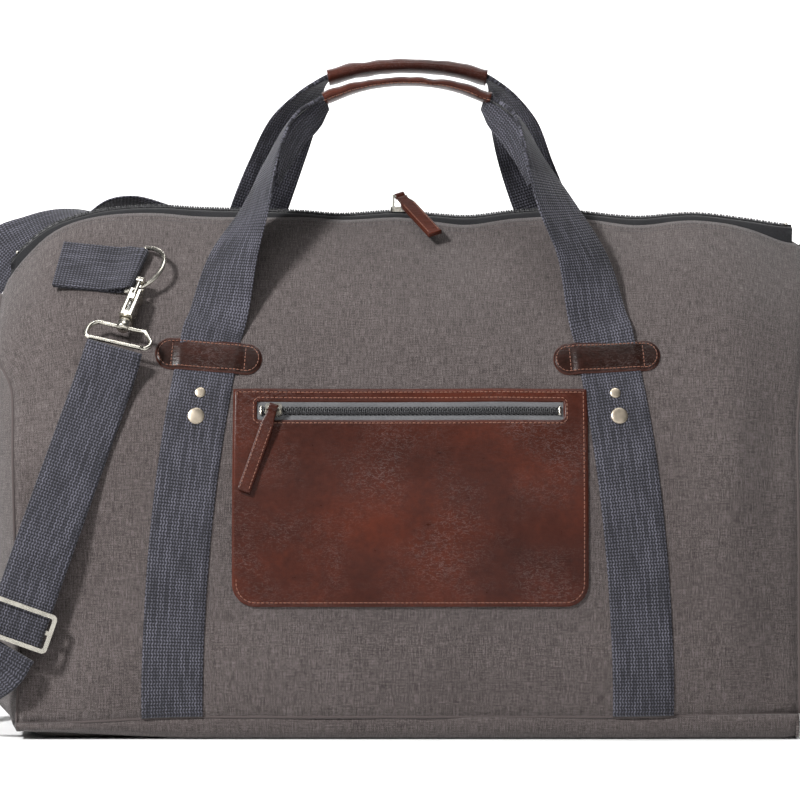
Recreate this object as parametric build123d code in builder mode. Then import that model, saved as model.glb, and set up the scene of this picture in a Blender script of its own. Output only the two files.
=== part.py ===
from build123d import *
from math import acos, asin, cos, radians, sin
import os

os.makedirs("parts", exist_ok=True)

# Weekender duffel bag with webbing handles, a leather pocket and a clip-on shoulder strap.
# Millimetres. X runs along the bag, -Y is the front, +Z is up.
# The origin is the middle of the bag's base, on the ground.

# ---- driving dimensions -------------------------------------------------------------
bag_length = 506.0
base_depth = 250.0
straight_height = 120.0
panel_edge_depth = 12.0
panel_edge_height = 342.0
base_corner_radius = 12.0
base_seam_height = 15.0

canvas_thickness = 2.0
tape_thickness = 0.8
lining_thickness = 0.6
board_thickness = 2.6
webbing_thickness = 1.6
leather_thickness = 1.4

handle_webbing_width = 39.5
webbing_foot_x = 152.0
webbing_lean_radius = 1276.0
handle_root_height = 272.0

strap_width = 38.0
run_thickness = 3.6
strap_thickness = 1.8
ring_wire = 3.0
loop_wire = 2.8

keeper_length = 70.0
keeper_width = 20.0
keeper_x = 130.0
keeper_height = 247.0
keeper_tilt = 4.0

pocket_width = 227.0
pocket_low = 86.0
pocket_high = 226.0
pocket_corner_radius = 15.0
pocket_zip_height = 211.75
pocket_zip_gap = 11.5
pocket_zip_length = 196.0

half_length = bag_length / 2
half_depth = base_depth / 2
edge_run = half_depth - panel_edge_depth
edge_rise = panel_edge_height - straight_height
face_radius = (edge_run**2 + edge_rise**2) / (2 * edge_run)


# ---- the bag's face, a vertical wall that leans back in one arc ----------------------
def face_point(angle, offset=0.0):
    """Depth and height on the front face, offset inwards, at an angle up the lean."""
    radius = face_radius - offset
    depth = -half_depth + face_radius - radius * cos(angle)
    return (depth, straight_height + radius * sin(angle))


def angle_at_height(height):
    """Angle up the lean where the face reaches a height."""
    return asin(max(0.0, height - straight_height) / face_radius)


def angle_at_depth(depth, offset):
    """Angle up the lean where an offset face comes within a depth of the middle."""
    return acos((face_radius - half_depth + depth) / (face_radius - offset))


def front_or_back(x, y, z, back):
    """A point or direction on the front, or the same one turned round to the back."""
    if back:
        return Vector(-x, -y, z)
    return Vector(x, y, z)


def face_plane(x, height, standoff, back=False, tilt=0.0):
    """Plane tangent to the face, local Z outwards and local X along the bag."""
    angle = angle_at_height(height)
    depth, _ = face_point(angle)
    outward = (0.0, -cos(angle), sin(angle))
    upward = (0.0, sin(angle), cos(angle))
    turn = radians(tilt)
    along = (cos(turn), upward[1] * sin(turn), upward[2] * sin(turn))
    origin = (x, depth + outward[1] * standoff, height + outward[2] * standoff)
    return Plane(
        origin=front_or_back(*origin, back),
        x_dir=front_or_back(*along, back),
        z_dir=front_or_back(*outward, back),
    )


def face_layer(outer, inner, top_angle, length, back=False):
    """A layer of the face between two offsets, as long as asked, up to an angle."""
    side = -1 if back else 1

    def spot(angle, offset):
        depth, height = face_point(angle, offset)
        return (side * depth, height)

    with BuildPart() as layer:
        with BuildSketch(Plane.YZ):
            with BuildLine():
                Line((side * (-half_depth + outer), base_seam_height), spot(0, outer))
                ThreePointArc(spot(0, outer), spot(top_angle / 2, outer), spot(top_angle, outer))
                Line(spot(top_angle, outer), spot(top_angle, inner))
                ThreePointArc(spot(top_angle, inner), spot(top_angle / 2, inner), spot(0, inner))
                Line(spot(0, inner), (side * (-half_depth + inner), base_seam_height))
                Line(
                    (side * (-half_depth + inner), base_seam_height),
                    (side * (-half_depth + outer), base_seam_height),
                )
            make_face()
        extrude(amount=length / 2, both=True)
    return layer.part


def bag_block(offset, bottom, top_depth, length):
    """The bag's whole outline at an inward offset, as one solid block."""
    top_angle = angle_at_depth(top_depth, offset)
    top_y, top_z = face_point(top_angle, offset)
    mid_y, mid_z = face_point(top_angle / 2, offset)
    wall_y = half_depth - offset
    with BuildPart() as block:
        with BuildSketch(Plane.YZ) as outline:
            with BuildLine():
                Line((-wall_y, bottom), (wall_y, bottom))
                Line((wall_y, bottom), (wall_y, straight_height))
                ThreePointArc((wall_y, straight_height), (-mid_y, mid_z), (-top_y, top_z))
                Line((-top_y, top_z), (top_y, top_z))
                ThreePointArc((top_y, top_z), (mid_y, mid_z), (-wall_y, straight_height))
                Line((-wall_y, straight_height), (-wall_y, bottom))
            make_face()
            fillet(outline.vertices().group_by(Axis.Y)[0], base_corner_radius - offset)
        extrude(amount=length / 2, both=True)
    return block.part


def finish(builder, name):
    """Label a finished piece and write it under its own name."""
    builder.part.label = name
    export_step(builder.part, f"parts/{name}.step")


canvas_top_angle = angle_at_depth(panel_edge_depth, 0)
tape_top_angle = angle_at_depth(3.6, canvas_thickness)
tape_foot_angle = angle_at_depth(20.0, canvas_thickness)
inner_length = bag_length - 2 * canvas_thickness

# ---- rivet places on the handle webbing ----------------------------------------------
small_rivet_height = 226.0
large_rivet_height = 211.0
small_rivet_radius = 3.5
large_rivet_radius = 5.5
rivet_shank_radius = 1.5


def webbing_x(height):
    """Distance of the sewn webbing's centre line from the middle, at a height."""
    lean = asin((height - base_seam_height) / webbing_lean_radius)
    return webbing_foot_x - webbing_lean_radius * (1 - cos(lean))


def rivet_planes(height, standoff, back):
    """The two tangent planes, left and right, at one rivet height."""
    x = webbing_x(height)
    return [face_plane(side * x, height, standoff, back) for side in (-1, 1)]


# ---- canvas shell ---------------------------------------------------------------------
def rivet_shanks(back):
    """Solid pins through one face at all four rivets, used to bore the holes."""
    with BuildPart() as pins:
        for height in (small_rivet_height, large_rivet_height):
            for plane in rivet_planes(height, 0, back):
                with BuildSketch(plane):
                    Circle(rivet_shank_radius)
                extrude(amount=6, both=True)
    return pins.part


for panel_name, on_back in (("front_panel", False), ("back_panel", True)):
    panel_layer = face_layer(0, canvas_thickness, canvas_top_angle, inner_length, on_back)
    shanks = rivet_shanks(on_back)
    with BuildPart() as panel:
        add(panel_layer)
        add(shanks, mode=Mode.SUBTRACT)
    finish(panel, panel_name)

end_outline = bag_block(0, 0, panel_edge_depth, bag_length)
for end_name, side in (("left_end_panel", -1), ("right_end_panel", 1)):
    with BuildPart() as end_panel:
        add(end_outline)
        with BuildSketch(Plane.YZ.offset(side * (half_length - canvas_thickness / 2))):
            Rectangle(2 * base_depth, 3 * panel_edge_height)
        extrude(amount=canvas_thickness / 2, both=True, mode=Mode.INTERSECT)
    finish(end_panel, end_name)

with BuildPart() as bottom_panel:
    with BuildSketch(Plane.YZ) as trough:
        with Locations((0, base_seam_height / 2)):
            Rectangle(base_depth, base_seam_height)
        fillet(trough.vertices().group_by(Axis.Y)[0], base_corner_radius)
        with Locations((0, base_seam_height / 2 + canvas_thickness)):
            Rectangle(base_depth - 2 * canvas_thickness, base_seam_height, mode=Mode.SUBTRACT)
    extrude(amount=inner_length / 2, both=True)
finish(bottom_panel, "bottom_panel")

board_length = 484.0
board_depth = 226.0
with BuildPart() as base_board:
    with BuildSketch(Plane.XY.offset(canvas_thickness)):
        RectangleRounded(board_length, board_depth, 14)
    extrude(amount=board_thickness)
finish(base_board, "base_board")

lining_offset = canvas_thickness + tape_thickness + 0.1
lining_floor = canvas_thickness + board_thickness
lining_length = inner_length - 1.0
lining_outer = bag_block(lining_offset, lining_floor, 14.0, lining_length)
lining_inner = bag_block(
    lining_offset + lining_thickness,
    lining_floor + lining_thickness,
    10.0,
    lining_length - 2 * lining_thickness,
)
with BuildPart() as lining:
    add(lining_outer)
    add(lining_inner, mode=Mode.SUBTRACT)
    with BuildSketch(Plane.XY.offset(panel_edge_height - 20)):
        Rectangle(lining_length - 2 * lining_thickness, 28.0)
    extrude(amount=40, mode=Mode.SUBTRACT)
finish(lining, "lining")

# ---- main zip along the ridge -----------------------------------------------------------
coil_width = 6.0
coil_low = 345.3
coil_high = 348.5
zip_length = 494.0
stop_length = 5.0
coil_length = zip_length - 2 * stop_length

for tape_name, on_back in (("front_zip_tape", False), ("rear_zip_tape", True)):
    under_layer = face_layer(
        canvas_thickness, canvas_thickness + tape_thickness, tape_top_angle, zip_length, on_back
    )
    _, foot_height = face_point(tape_foot_angle, canvas_thickness)
    with BuildPart() as zip_tape:
        add(under_layer)
        with BuildSketch(Plane.XY.offset(foot_height)):
            Rectangle(zip_length, base_depth)
        extrude(amount=60, mode=Mode.INTERSECT)
    finish(zip_tape, tape_name)

with BuildPart() as main_zip_coil:
    with BuildSketch(Plane.YZ):
        with Locations((0, (coil_low + coil_high) / 2)):
            Rectangle(coil_width, coil_high - coil_low)
    extrude(amount=coil_length / 2, both=True)
    chamfer(main_zip_coil.edges().filter_by(Axis.X).group_by(Axis.Z)[-1], 0.9)
finish(main_zip_coil, "main_zip_coil")

with BuildPart() as main_zip_end_stops:
    for side in (-1, 1):
        stop_x = side * (coil_length / 2 + stop_length / 2)
        with BuildSketch(Plane.XY.offset(coil_low + 0.6)):
            with Locations((stop_x, 0)):
                RectangleRounded(stop_length, coil_width + 4, 1.0)
        extrude(amount=coil_high - coil_low)
finish(main_zip_end_stops, "main_zip_end_stops")

slider_x = -5.0
slider_length = 13.0
slider_half_width = 5.4
slider_gap = 0.3
slider_top = coil_high + slider_gap + 1.4
bail_rod_radius = 0.8
bail_height = slider_top + 7.5

with BuildPart() as main_zip_slider:
    with BuildSketch(Plane.XY.offset(coil_low + 1.4)):
        with Locations((slider_x, 0)):
            RectangleRounded(slider_length, 2 * slider_half_width, 2.5)
    extrude(amount=slider_top - coil_low - 1.4)
    with BuildSketch(Plane.XY.offset(coil_low)):
        with Locations((slider_x, 0)):
            Rectangle(2 * slider_length, coil_width + 2 * slider_gap)
    extrude(amount=coil_high + slider_gap - coil_low, mode=Mode.SUBTRACT)
finish(main_zip_slider, "main_zip_slider")


def add_bail(plane, rod_height, half_span):
    """A rod along local X on two posts, standing on a slider."""
    with BuildPart() as bail:
        for side in (-1, 1):
            with BuildSketch(plane):
                with Locations((side * half_span, 0)):
                    RectangleRounded(1.5, 2.6, 0.5)
            extrude(amount=rod_height + bail_rod_radius)
        rod_start = plane.from_local_coords((-half_span, 0, rod_height))
        with BuildSketch(Plane(origin=rod_start, x_dir=plane.y_dir, z_dir=plane.x_dir)):
            Circle(bail_rod_radius)
        extrude(amount=2 * half_span)
    return bail


main_bail_plane = Plane(origin=(slider_x, 0, slider_top), x_dir=(1, 0, 0), z_dir=(0, 0, 1))
main_zip_bail = add_bail(main_bail_plane, bail_height - slider_top, 4.4)
finish(main_zip_bail, "main_zip_bail")


def leather_pull(plane, eye_width, width, length, thickness, swing):
    """A folded leather tab: an eye round the bail's rod and a tongue along local -Y."""
    eye_outer = bail_rod_radius + 0.1 + 1.2
    neck_length = 9.0
    with BuildPart() as pull:
        eye_start = plane.from_local_coords((-eye_width / 2, 0, 0))
        with BuildSketch(Plane(origin=eye_start, x_dir=plane.y_dir, z_dir=plane.x_dir)):
            Circle(eye_outer)
        extrude(amount=eye_width)
        with BuildSketch(plane):
            with Locations((0, -neck_length / 2)):
                Rectangle(eye_width, neck_length)
        extrude(amount=thickness / 2, both=True)
        with BuildSketch(plane):
            with Locations(Location((0, 1.0 - neck_length, 0), (0, 0, swing))):
                RectangleRounded(width, length, 1.5, align=(Align.CENTER, Align.MAX))
        extrude(amount=thickness / 2, both=True)
        with BuildSketch(Plane(origin=eye_start, x_dir=plane.y_dir, z_dir=plane.x_dir)):
            Circle(bail_rod_radius + 0.1)
        extrude(amount=eye_width, mode=Mode.SUBTRACT)
    return pull


main_pull_slope = radians(38.0)
main_pull_plane = Plane(
    origin=(slider_x, 0, bail_height),
    x_dir=(1, 0, 0),
    z_dir=(0, -sin(main_pull_slope), cos(main_pull_slope)),
)
main_zip_pull = leather_pull(
    main_pull_plane, eye_width=6.4, width=10.0, length=41.0, thickness=2.8, swing=28.0
)
finish(main_zip_pull, "main_zip_pull")


# ---- handle webbing, keepers and rivets ---------------------------------------------------
def webbing_outline(side):
    """Sewn webbing seen from the front: a band that leans inwards in one wide arc."""
    centre_x = webbing_foot_x - webbing_lean_radius
    top = asin((handle_root_height - base_seam_height) / webbing_lean_radius)

    def spot(shift, lean):
        radius = webbing_lean_radius + shift
        return (side * (centre_x + radius * cos(lean)), base_seam_height + radius * sin(lean))

    half = handle_webbing_width / 2
    with BuildPart() as prism:
        with BuildSketch(Plane.XZ):
            with BuildLine():
                Line(spot(-half, 0), spot(half, 0))
                ThreePointArc(spot(half, 0), spot(half, top / 2), spot(half, top))
                Line(spot(half, top), spot(-half, top))
                ThreePointArc(spot(-half, top), spot(-half, top / 2), spot(-half, 0))
            make_face()
        extrude(amount=base_depth, both=True)
    return prism.part


def keeper_outline(side):
    """Keeper seen from the front: a tab with round ends, square to the webbing."""
    with BuildPart() as prism:
        with BuildSketch(Plane.XZ):
            with Locations(Location((side * keeper_x, keeper_height, 0), (0, 0, side * keeper_tilt))):
                SlotOverall(keeper_length, keeper_width)
        extrude(amount=base_depth, both=True)
    return prism.part


outer_webbing = -webbing_thickness
outer_keeper = -webbing_thickness - leather_thickness
for face_name, on_back in (("front", False), ("rear", True)):
    webbing_layer = face_layer(outer_webbing, 0, canvas_top_angle, inner_length, on_back)
    keeper_layer = face_layer(outer_keeper, 0, canvas_top_angle, inner_length, on_back)
    shanks = rivet_shanks(on_back)
    for side_name, side in (("left", -1), ("right", 1)):
        strip = webbing_outline(side)
        tab = keeper_outline(side)
        with BuildPart() as webbing:
            add(webbing_layer)
            add(strip, mode=Mode.INTERSECT)
            add(shanks, mode=Mode.SUBTRACT)
        finish(webbing, f"{face_name}_{side_name}_webbing")
        with BuildPart() as keeper:
            add(keeper_layer)
            add(tab, mode=Mode.INTERSECT)
            add(webbing.part, mode=Mode.SUBTRACT)
        finish(keeper, f"{face_name}_{side_name}_keeper")

for rivet_name, rivet_height, rivet_radius, dome in (
    ("small_rivets", small_rivet_height, small_rivet_radius, 1.5),
    ("large_rivets", large_rivet_height, large_rivet_radius, 1.9),
):
    with BuildPart() as rivets:
        for on_back in (False, True):
            for plane in rivet_planes(rivet_height, webbing_thickness, on_back):
                with BuildSketch(plane):
                    Circle(rivet_radius)
                extrude(amount=dome, taper=28)
                with BuildSketch(plane):
                    Circle(rivet_shank_radius)
                extrude(amount=-(webbing_thickness + canvas_thickness))
    finish(rivets, rivet_name)

with BuildPart() as rivet_backs:
    for on_back in (False, True):
        for height in (small_rivet_height, large_rivet_height):
            for plane in rivet_planes(height, -canvas_thickness - 0.03, on_back):
                with BuildSketch(plane):
                    Circle(3.0)
                extrude(amount=-0.7)
finish(rivet_backs, "rivet_backs")


# ---- handles: free webbing that twists edge-on and folds into a leather grip ---------------
# Each station is half a handle's centre line: (x, y, z, width, twist in degrees).
# The other half is its mirror image. The front handle stands lower than the rear one.
core_thickness = 3.2
core_width = 20.0
root_angle = angle_at_height(handle_root_height)
root_depth, _ = face_point(root_angle, -webbing_thickness / 2)
root_x = webbing_x(handle_root_height)
root_shift = 1.2
root_lift = 1.5
front_stations = [
    (root_x - root_shift, root_depth - root_shift, handle_root_height + root_lift, 39.0, 4),
    (115.5, -66.0, 313.0, 39.0, 30),
    (102.0, -53.0, 346.0, 38.0, 58),
    (90.0, -39.0, 382.0, 33.0, 76),
    (76.0, -27.0, 409.0, 26.0, 86),
]
front_grip_line = [(56.0, -20.0, 422.0), (34.0, -20.0, 429.5), (12.0, -20.0, 433.0)]
rear_stations = [
    (root_x - root_shift, root_depth - root_shift, handle_root_height + root_lift, 39.0, 2),
    (117.0, -73.0, 304.0, 39.0, 3),
    (104.5, -53.0, 345.0, 39.0, 5),
    (90.0, -40.0, 386.0, 38.0, 22),
    (76.0, -27.0, 419.0, 29.0, 60),
]
rear_grip_line = [(57.0, -15.0, 438.0), (34.0, -15.0, 444.0), (12.0, -15.0, 446.5)]


def handle_line(stations, grip_line):
    """All the stations of one handle from its left root to its right root."""
    half = [(*spot, core_width, 90) for spot in grip_line]
    left = [(-x, y, z, width, twist) for x, y, z, width, twist in stations + half]
    right = [(x, y, z, width, 180 - twist) for x, y, z, width, twist in stations + half]
    return left + right[::-1]


def band_plane(line, index):
    """Section plane across a band at one station: local X is the width direction."""
    x, y, z, _, twist = line[index]
    before = Vector(*line[max(0, index - 1)][:3])
    after = Vector(*line[min(len(line) - 1, index + 1)][:3])
    along = (after - before).normalized()
    turn = radians(twist)
    across = Vector(cos(turn), -sin(turn), 0)
    across = (across - along * across.dot(along)).normalized()
    return Plane(origin=(x, y, z), x_dir=across, z_dir=along)


def band(line, extra_width, thickness_of):
    """A ruled band through every station of a line."""
    with BuildPart() as strip:
        for index, station in enumerate(line):
            with BuildSketch(band_plane(line, index)):
                Rectangle(station[3] + extra_width, thickness_of(station[3]))
        loft(ruled=True)
    return strip.part


def handle_thickness(width):
    """Webbing is one layer at full width and two where it folds into the grip."""
    folded = (handle_webbing_width - width) / (handle_webbing_width - core_width)
    return webbing_thickness + (core_thickness - webbing_thickness) * max(0.0, folded)


for handle_name, stations, grip_line, on_back in (
    ("front_handle", front_stations, front_grip_line, False),
    ("rear_handle", rear_stations, rear_grip_line, True),
):
    whole_line = handle_line(stations, grip_line)
    core_line = [station for station in whole_line if abs(station[0]) < 60]
    free_webbing = band(whole_line, 0, handle_thickness)
    sleeve = band(core_line, 5.0, lambda width: core_thickness + 2 * 2.4)
    turn = 180 if on_back else 0
    with BuildPart() as handle_webbing:
        add(free_webbing, rotation=(0, 0, turn))
    finish(handle_webbing, f"{handle_name}_webbing")
    with BuildPart() as handle_grip:
        add(sleeve, rotation=(0, 0, turn))
        add(handle_webbing.part, mode=Mode.SUBTRACT)
    finish(handle_grip, f"{handle_name}_grip")


# ---- leather pocket on the front --------------------------------------------------------------
pocket_back = -0.5
pocket_tape = -1.1
pocket_front = pocket_tape - leather_thickness


def pocket_prism(width, low, high, corner):
    """Pocket outline seen from the front: square at the top, round at the bottom."""
    with BuildPart() as prism:
        with BuildSketch(Plane.XZ) as outline:
            with Locations((0, (low + high) / 2)):
                Rectangle(width, high - low)
            if corner > 0:
                fillet(outline.vertices().group_by(Axis.Y)[0], corner)
        extrude(amount=base_depth)
    return prism.part


zip_low = pocket_zip_height - pocket_zip_gap / 2
zip_high = pocket_zip_height + pocket_zip_gap / 2
pocket_shape = pocket_prism(pocket_width, pocket_low, pocket_high, pocket_corner_radius)
bag_shape = pocket_prism(pocket_width - 14, pocket_low + 7, pocket_high - 4, 10)
zip_window = pocket_prism(pocket_zip_length, zip_low, zip_high, 0)
tape_shape = pocket_prism(pocket_zip_length + 12, zip_low - 6, zip_high + 4, 0)
back_layer = face_layer(pocket_back, 0, canvas_top_angle, inner_length)
tape_layer = face_layer(pocket_tape, pocket_back, canvas_top_angle, inner_length)
face_leather = face_layer(pocket_front, pocket_tape, canvas_top_angle, inner_length)
rim_leather = face_layer(pocket_front, 0, canvas_top_angle, inner_length)

# The leather stands over the pocket bag in the middle and lies on the canvas round its rim.
with BuildPart() as pocket_cover:
    add(face_leather)
    add(bag_shape, mode=Mode.INTERSECT)

with BuildPart() as pocket_face:
    add(rim_leather)
    add(pocket_shape, mode=Mode.INTERSECT)
    add(bag_shape, mode=Mode.SUBTRACT)
    add(pocket_cover.part)
    add(zip_window, mode=Mode.SUBTRACT)
finish(pocket_face, "pocket_face")

with BuildPart() as pocket_bag:
    add(back_layer)
    add(bag_shape, mode=Mode.INTERSECT)
finish(pocket_bag, "pocket_bag")

with BuildPart() as pocket_zip_tape:
    add(tape_layer)
    add(tape_shape, mode=Mode.INTERSECT)
finish(pocket_zip_tape, "pocket_zip_tape")

pocket_coil_width = 5.0
pocket_coil_height = 1.8
pocket_stop_length = 3.0
pocket_coil_length = pocket_zip_length - 2 * pocket_stop_length - 2
pocket_zip_plane = face_plane(0, pocket_zip_height, -pocket_tape)
with BuildPart() as pocket_zip_coil:
    with BuildSketch(pocket_zip_plane):
        Rectangle(pocket_coil_length, pocket_coil_width)
    extrude(amount=pocket_coil_height)
finish(pocket_zip_coil, "pocket_zip_coil")

with BuildPart() as pocket_zip_stops:
    for side in (-1, 1):
        with BuildSketch(pocket_zip_plane):
            with Locations((side * (pocket_coil_length + pocket_stop_length) / 2, 0)):
                RectangleRounded(pocket_stop_length, pocket_coil_width + 2, 0.8)
        extrude(amount=pocket_coil_height)
finish(pocket_zip_stops, "pocket_zip_stops")

pocket_slider_x = -87.0
pocket_slider_half_width = 4.3
pocket_slider_length = 11.0
pocket_slider_top = pocket_coil_height + slider_gap + 1.2
pocket_slider_plane = face_plane(pocket_slider_x, pocket_zip_height, -pocket_tape)
with BuildPart() as pocket_zip_slider:
    with BuildSketch(pocket_slider_plane.offset(0.5)):
        RectangleRounded(pocket_slider_length, 2 * pocket_slider_half_width, 2.0)
    extrude(amount=pocket_slider_top - 0.5)
    with BuildSketch(pocket_slider_plane):
        Rectangle(2 * pocket_slider_length, pocket_coil_width + 2 * slider_gap)
    extrude(amount=pocket_coil_height + slider_gap, mode=Mode.SUBTRACT)
finish(pocket_zip_slider, "pocket_zip_slider")

pocket_bail_height = 4.2
pocket_bail_plane = pocket_slider_plane.offset(pocket_slider_top)
pocket_zip_bail = add_bail(pocket_bail_plane, pocket_bail_height, 4.2)
finish(pocket_zip_bail, "pocket_zip_bail")

pocket_pull_slope = radians(10.0)
pocket_rod = pocket_bail_plane.from_local_coords((0, 0, pocket_bail_height))
pocket_pull_plane = Plane(
    origin=pocket_rod,
    x_dir=(1, 0, 0),
    z_dir=(0, -cos(pocket_pull_slope), sin(pocket_pull_slope)),
)
pocket_zip_pull = leather_pull(
    pocket_pull_plane, eye_width=6.0, width=8.5, length=46.0, thickness=2.4, swing=-16.0
)
finish(pocket_zip_pull, "pocket_zip_pull")

# ---- strap hardware: ring tab, D-ring, snap hook and swivel loop ------------------------------
ring_height = 303.0
ring_x = -180.0
tab_tilts = {False: -16.0, True: 12.0}
tab_bend = 8.0
tab_eye_length = 36.6
tab_length = 52.0
ring_radius = 20.5
ring_standoff = 4.0
ring_lift = 22.0
hook_on_ring = radians(-62.0)
jaw_radius = 4.0
hook_radius = 7.4
hook_thickness = 4.2
barrel_start = 7.0
barrel_end = 30.0
barrel_width = 8.6
swivel_end = 38.0
pin_radius = 1.75
gate_side = 5.7
rear_strap_height = 318.0
loop_bar = 50.0
loop_half_width = 21.6

# The hanging run of doubled strap: its two ends as (x, height), and how far off the face.
run_top = (-187.0, 257.0)
run_low = (-251.0, 76.0)


def run_point(share, standoff):
    """A point along the run, held off the face by a standoff."""
    x = run_top[0] + (run_low[0] - run_top[0]) * share
    height = run_top[1] + (run_low[1] - run_top[1]) * share
    angle = angle_at_height(height)
    depth, _ = face_point(angle)
    return Vector(x, depth - standoff * cos(angle), height + standoff * sin(angle))


def ring_plane(back):
    """Plane of the D-ring: its bar on local Y, its bow on local +X, lifted off the face."""
    flat = face_plane(ring_x, ring_height, ring_standoff, back, tab_tilts[back])
    lift = radians(ring_lift)
    x_dir = flat.x_dir * cos(lift) + flat.z_dir * sin(lift)
    z_dir = flat.z_dir * cos(lift) - flat.x_dir * sin(lift)
    return Plane(origin=flat.origin, x_dir=x_dir, z_dir=z_dir)


def hook_plane(back):
    """Plane of the hook's jaw: local X down the hook, local Y outwards from the bag."""
    bow = ring_plane(back)
    if back:
        seat = bow.from_local_coords((ring_radius, 0, 0))
        outward = face_plane(ring_x, rear_strap_height, 0, back).z_dir
        end = face_plane(ring_x + ring_radius + loop_bar, rear_strap_height, 7.0, back).origin
    else:
        angle = hook_on_ring
        seat = bow.from_local_coords((ring_radius * cos(angle), ring_radius * sin(angle), 0))
        outward = face_plane(ring_x, run_top[1] + 20, 0, back).z_dir
        end = run_point(0, 13.0)
    down = (end - seat).normalized()
    side = down.cross(outward).normalized()
    return Plane(origin=seat, x_dir=down, z_dir=side)


def ribbon(stations, width, thickness):
    """A ruled flat band through stations of (centre, direction across the band)."""
    centres = [Vector(*centre) for centre, _ in stations]
    with BuildPart() as strip:
        for index, (_, across) in enumerate(stations):
            before = centres[max(0, index - 1)]
            after = centres[min(len(centres) - 1, index + 1)]
            along = (after - before).normalized()
            across = Vector(*across)
            across = (across - along * across.dot(along)).normalized()
            with BuildSketch(Plane(origin=centres[index], x_dir=across, z_dir=along)):
                Rectangle(width, thickness)
        loft(ruled=True)
    return strip.part


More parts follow.
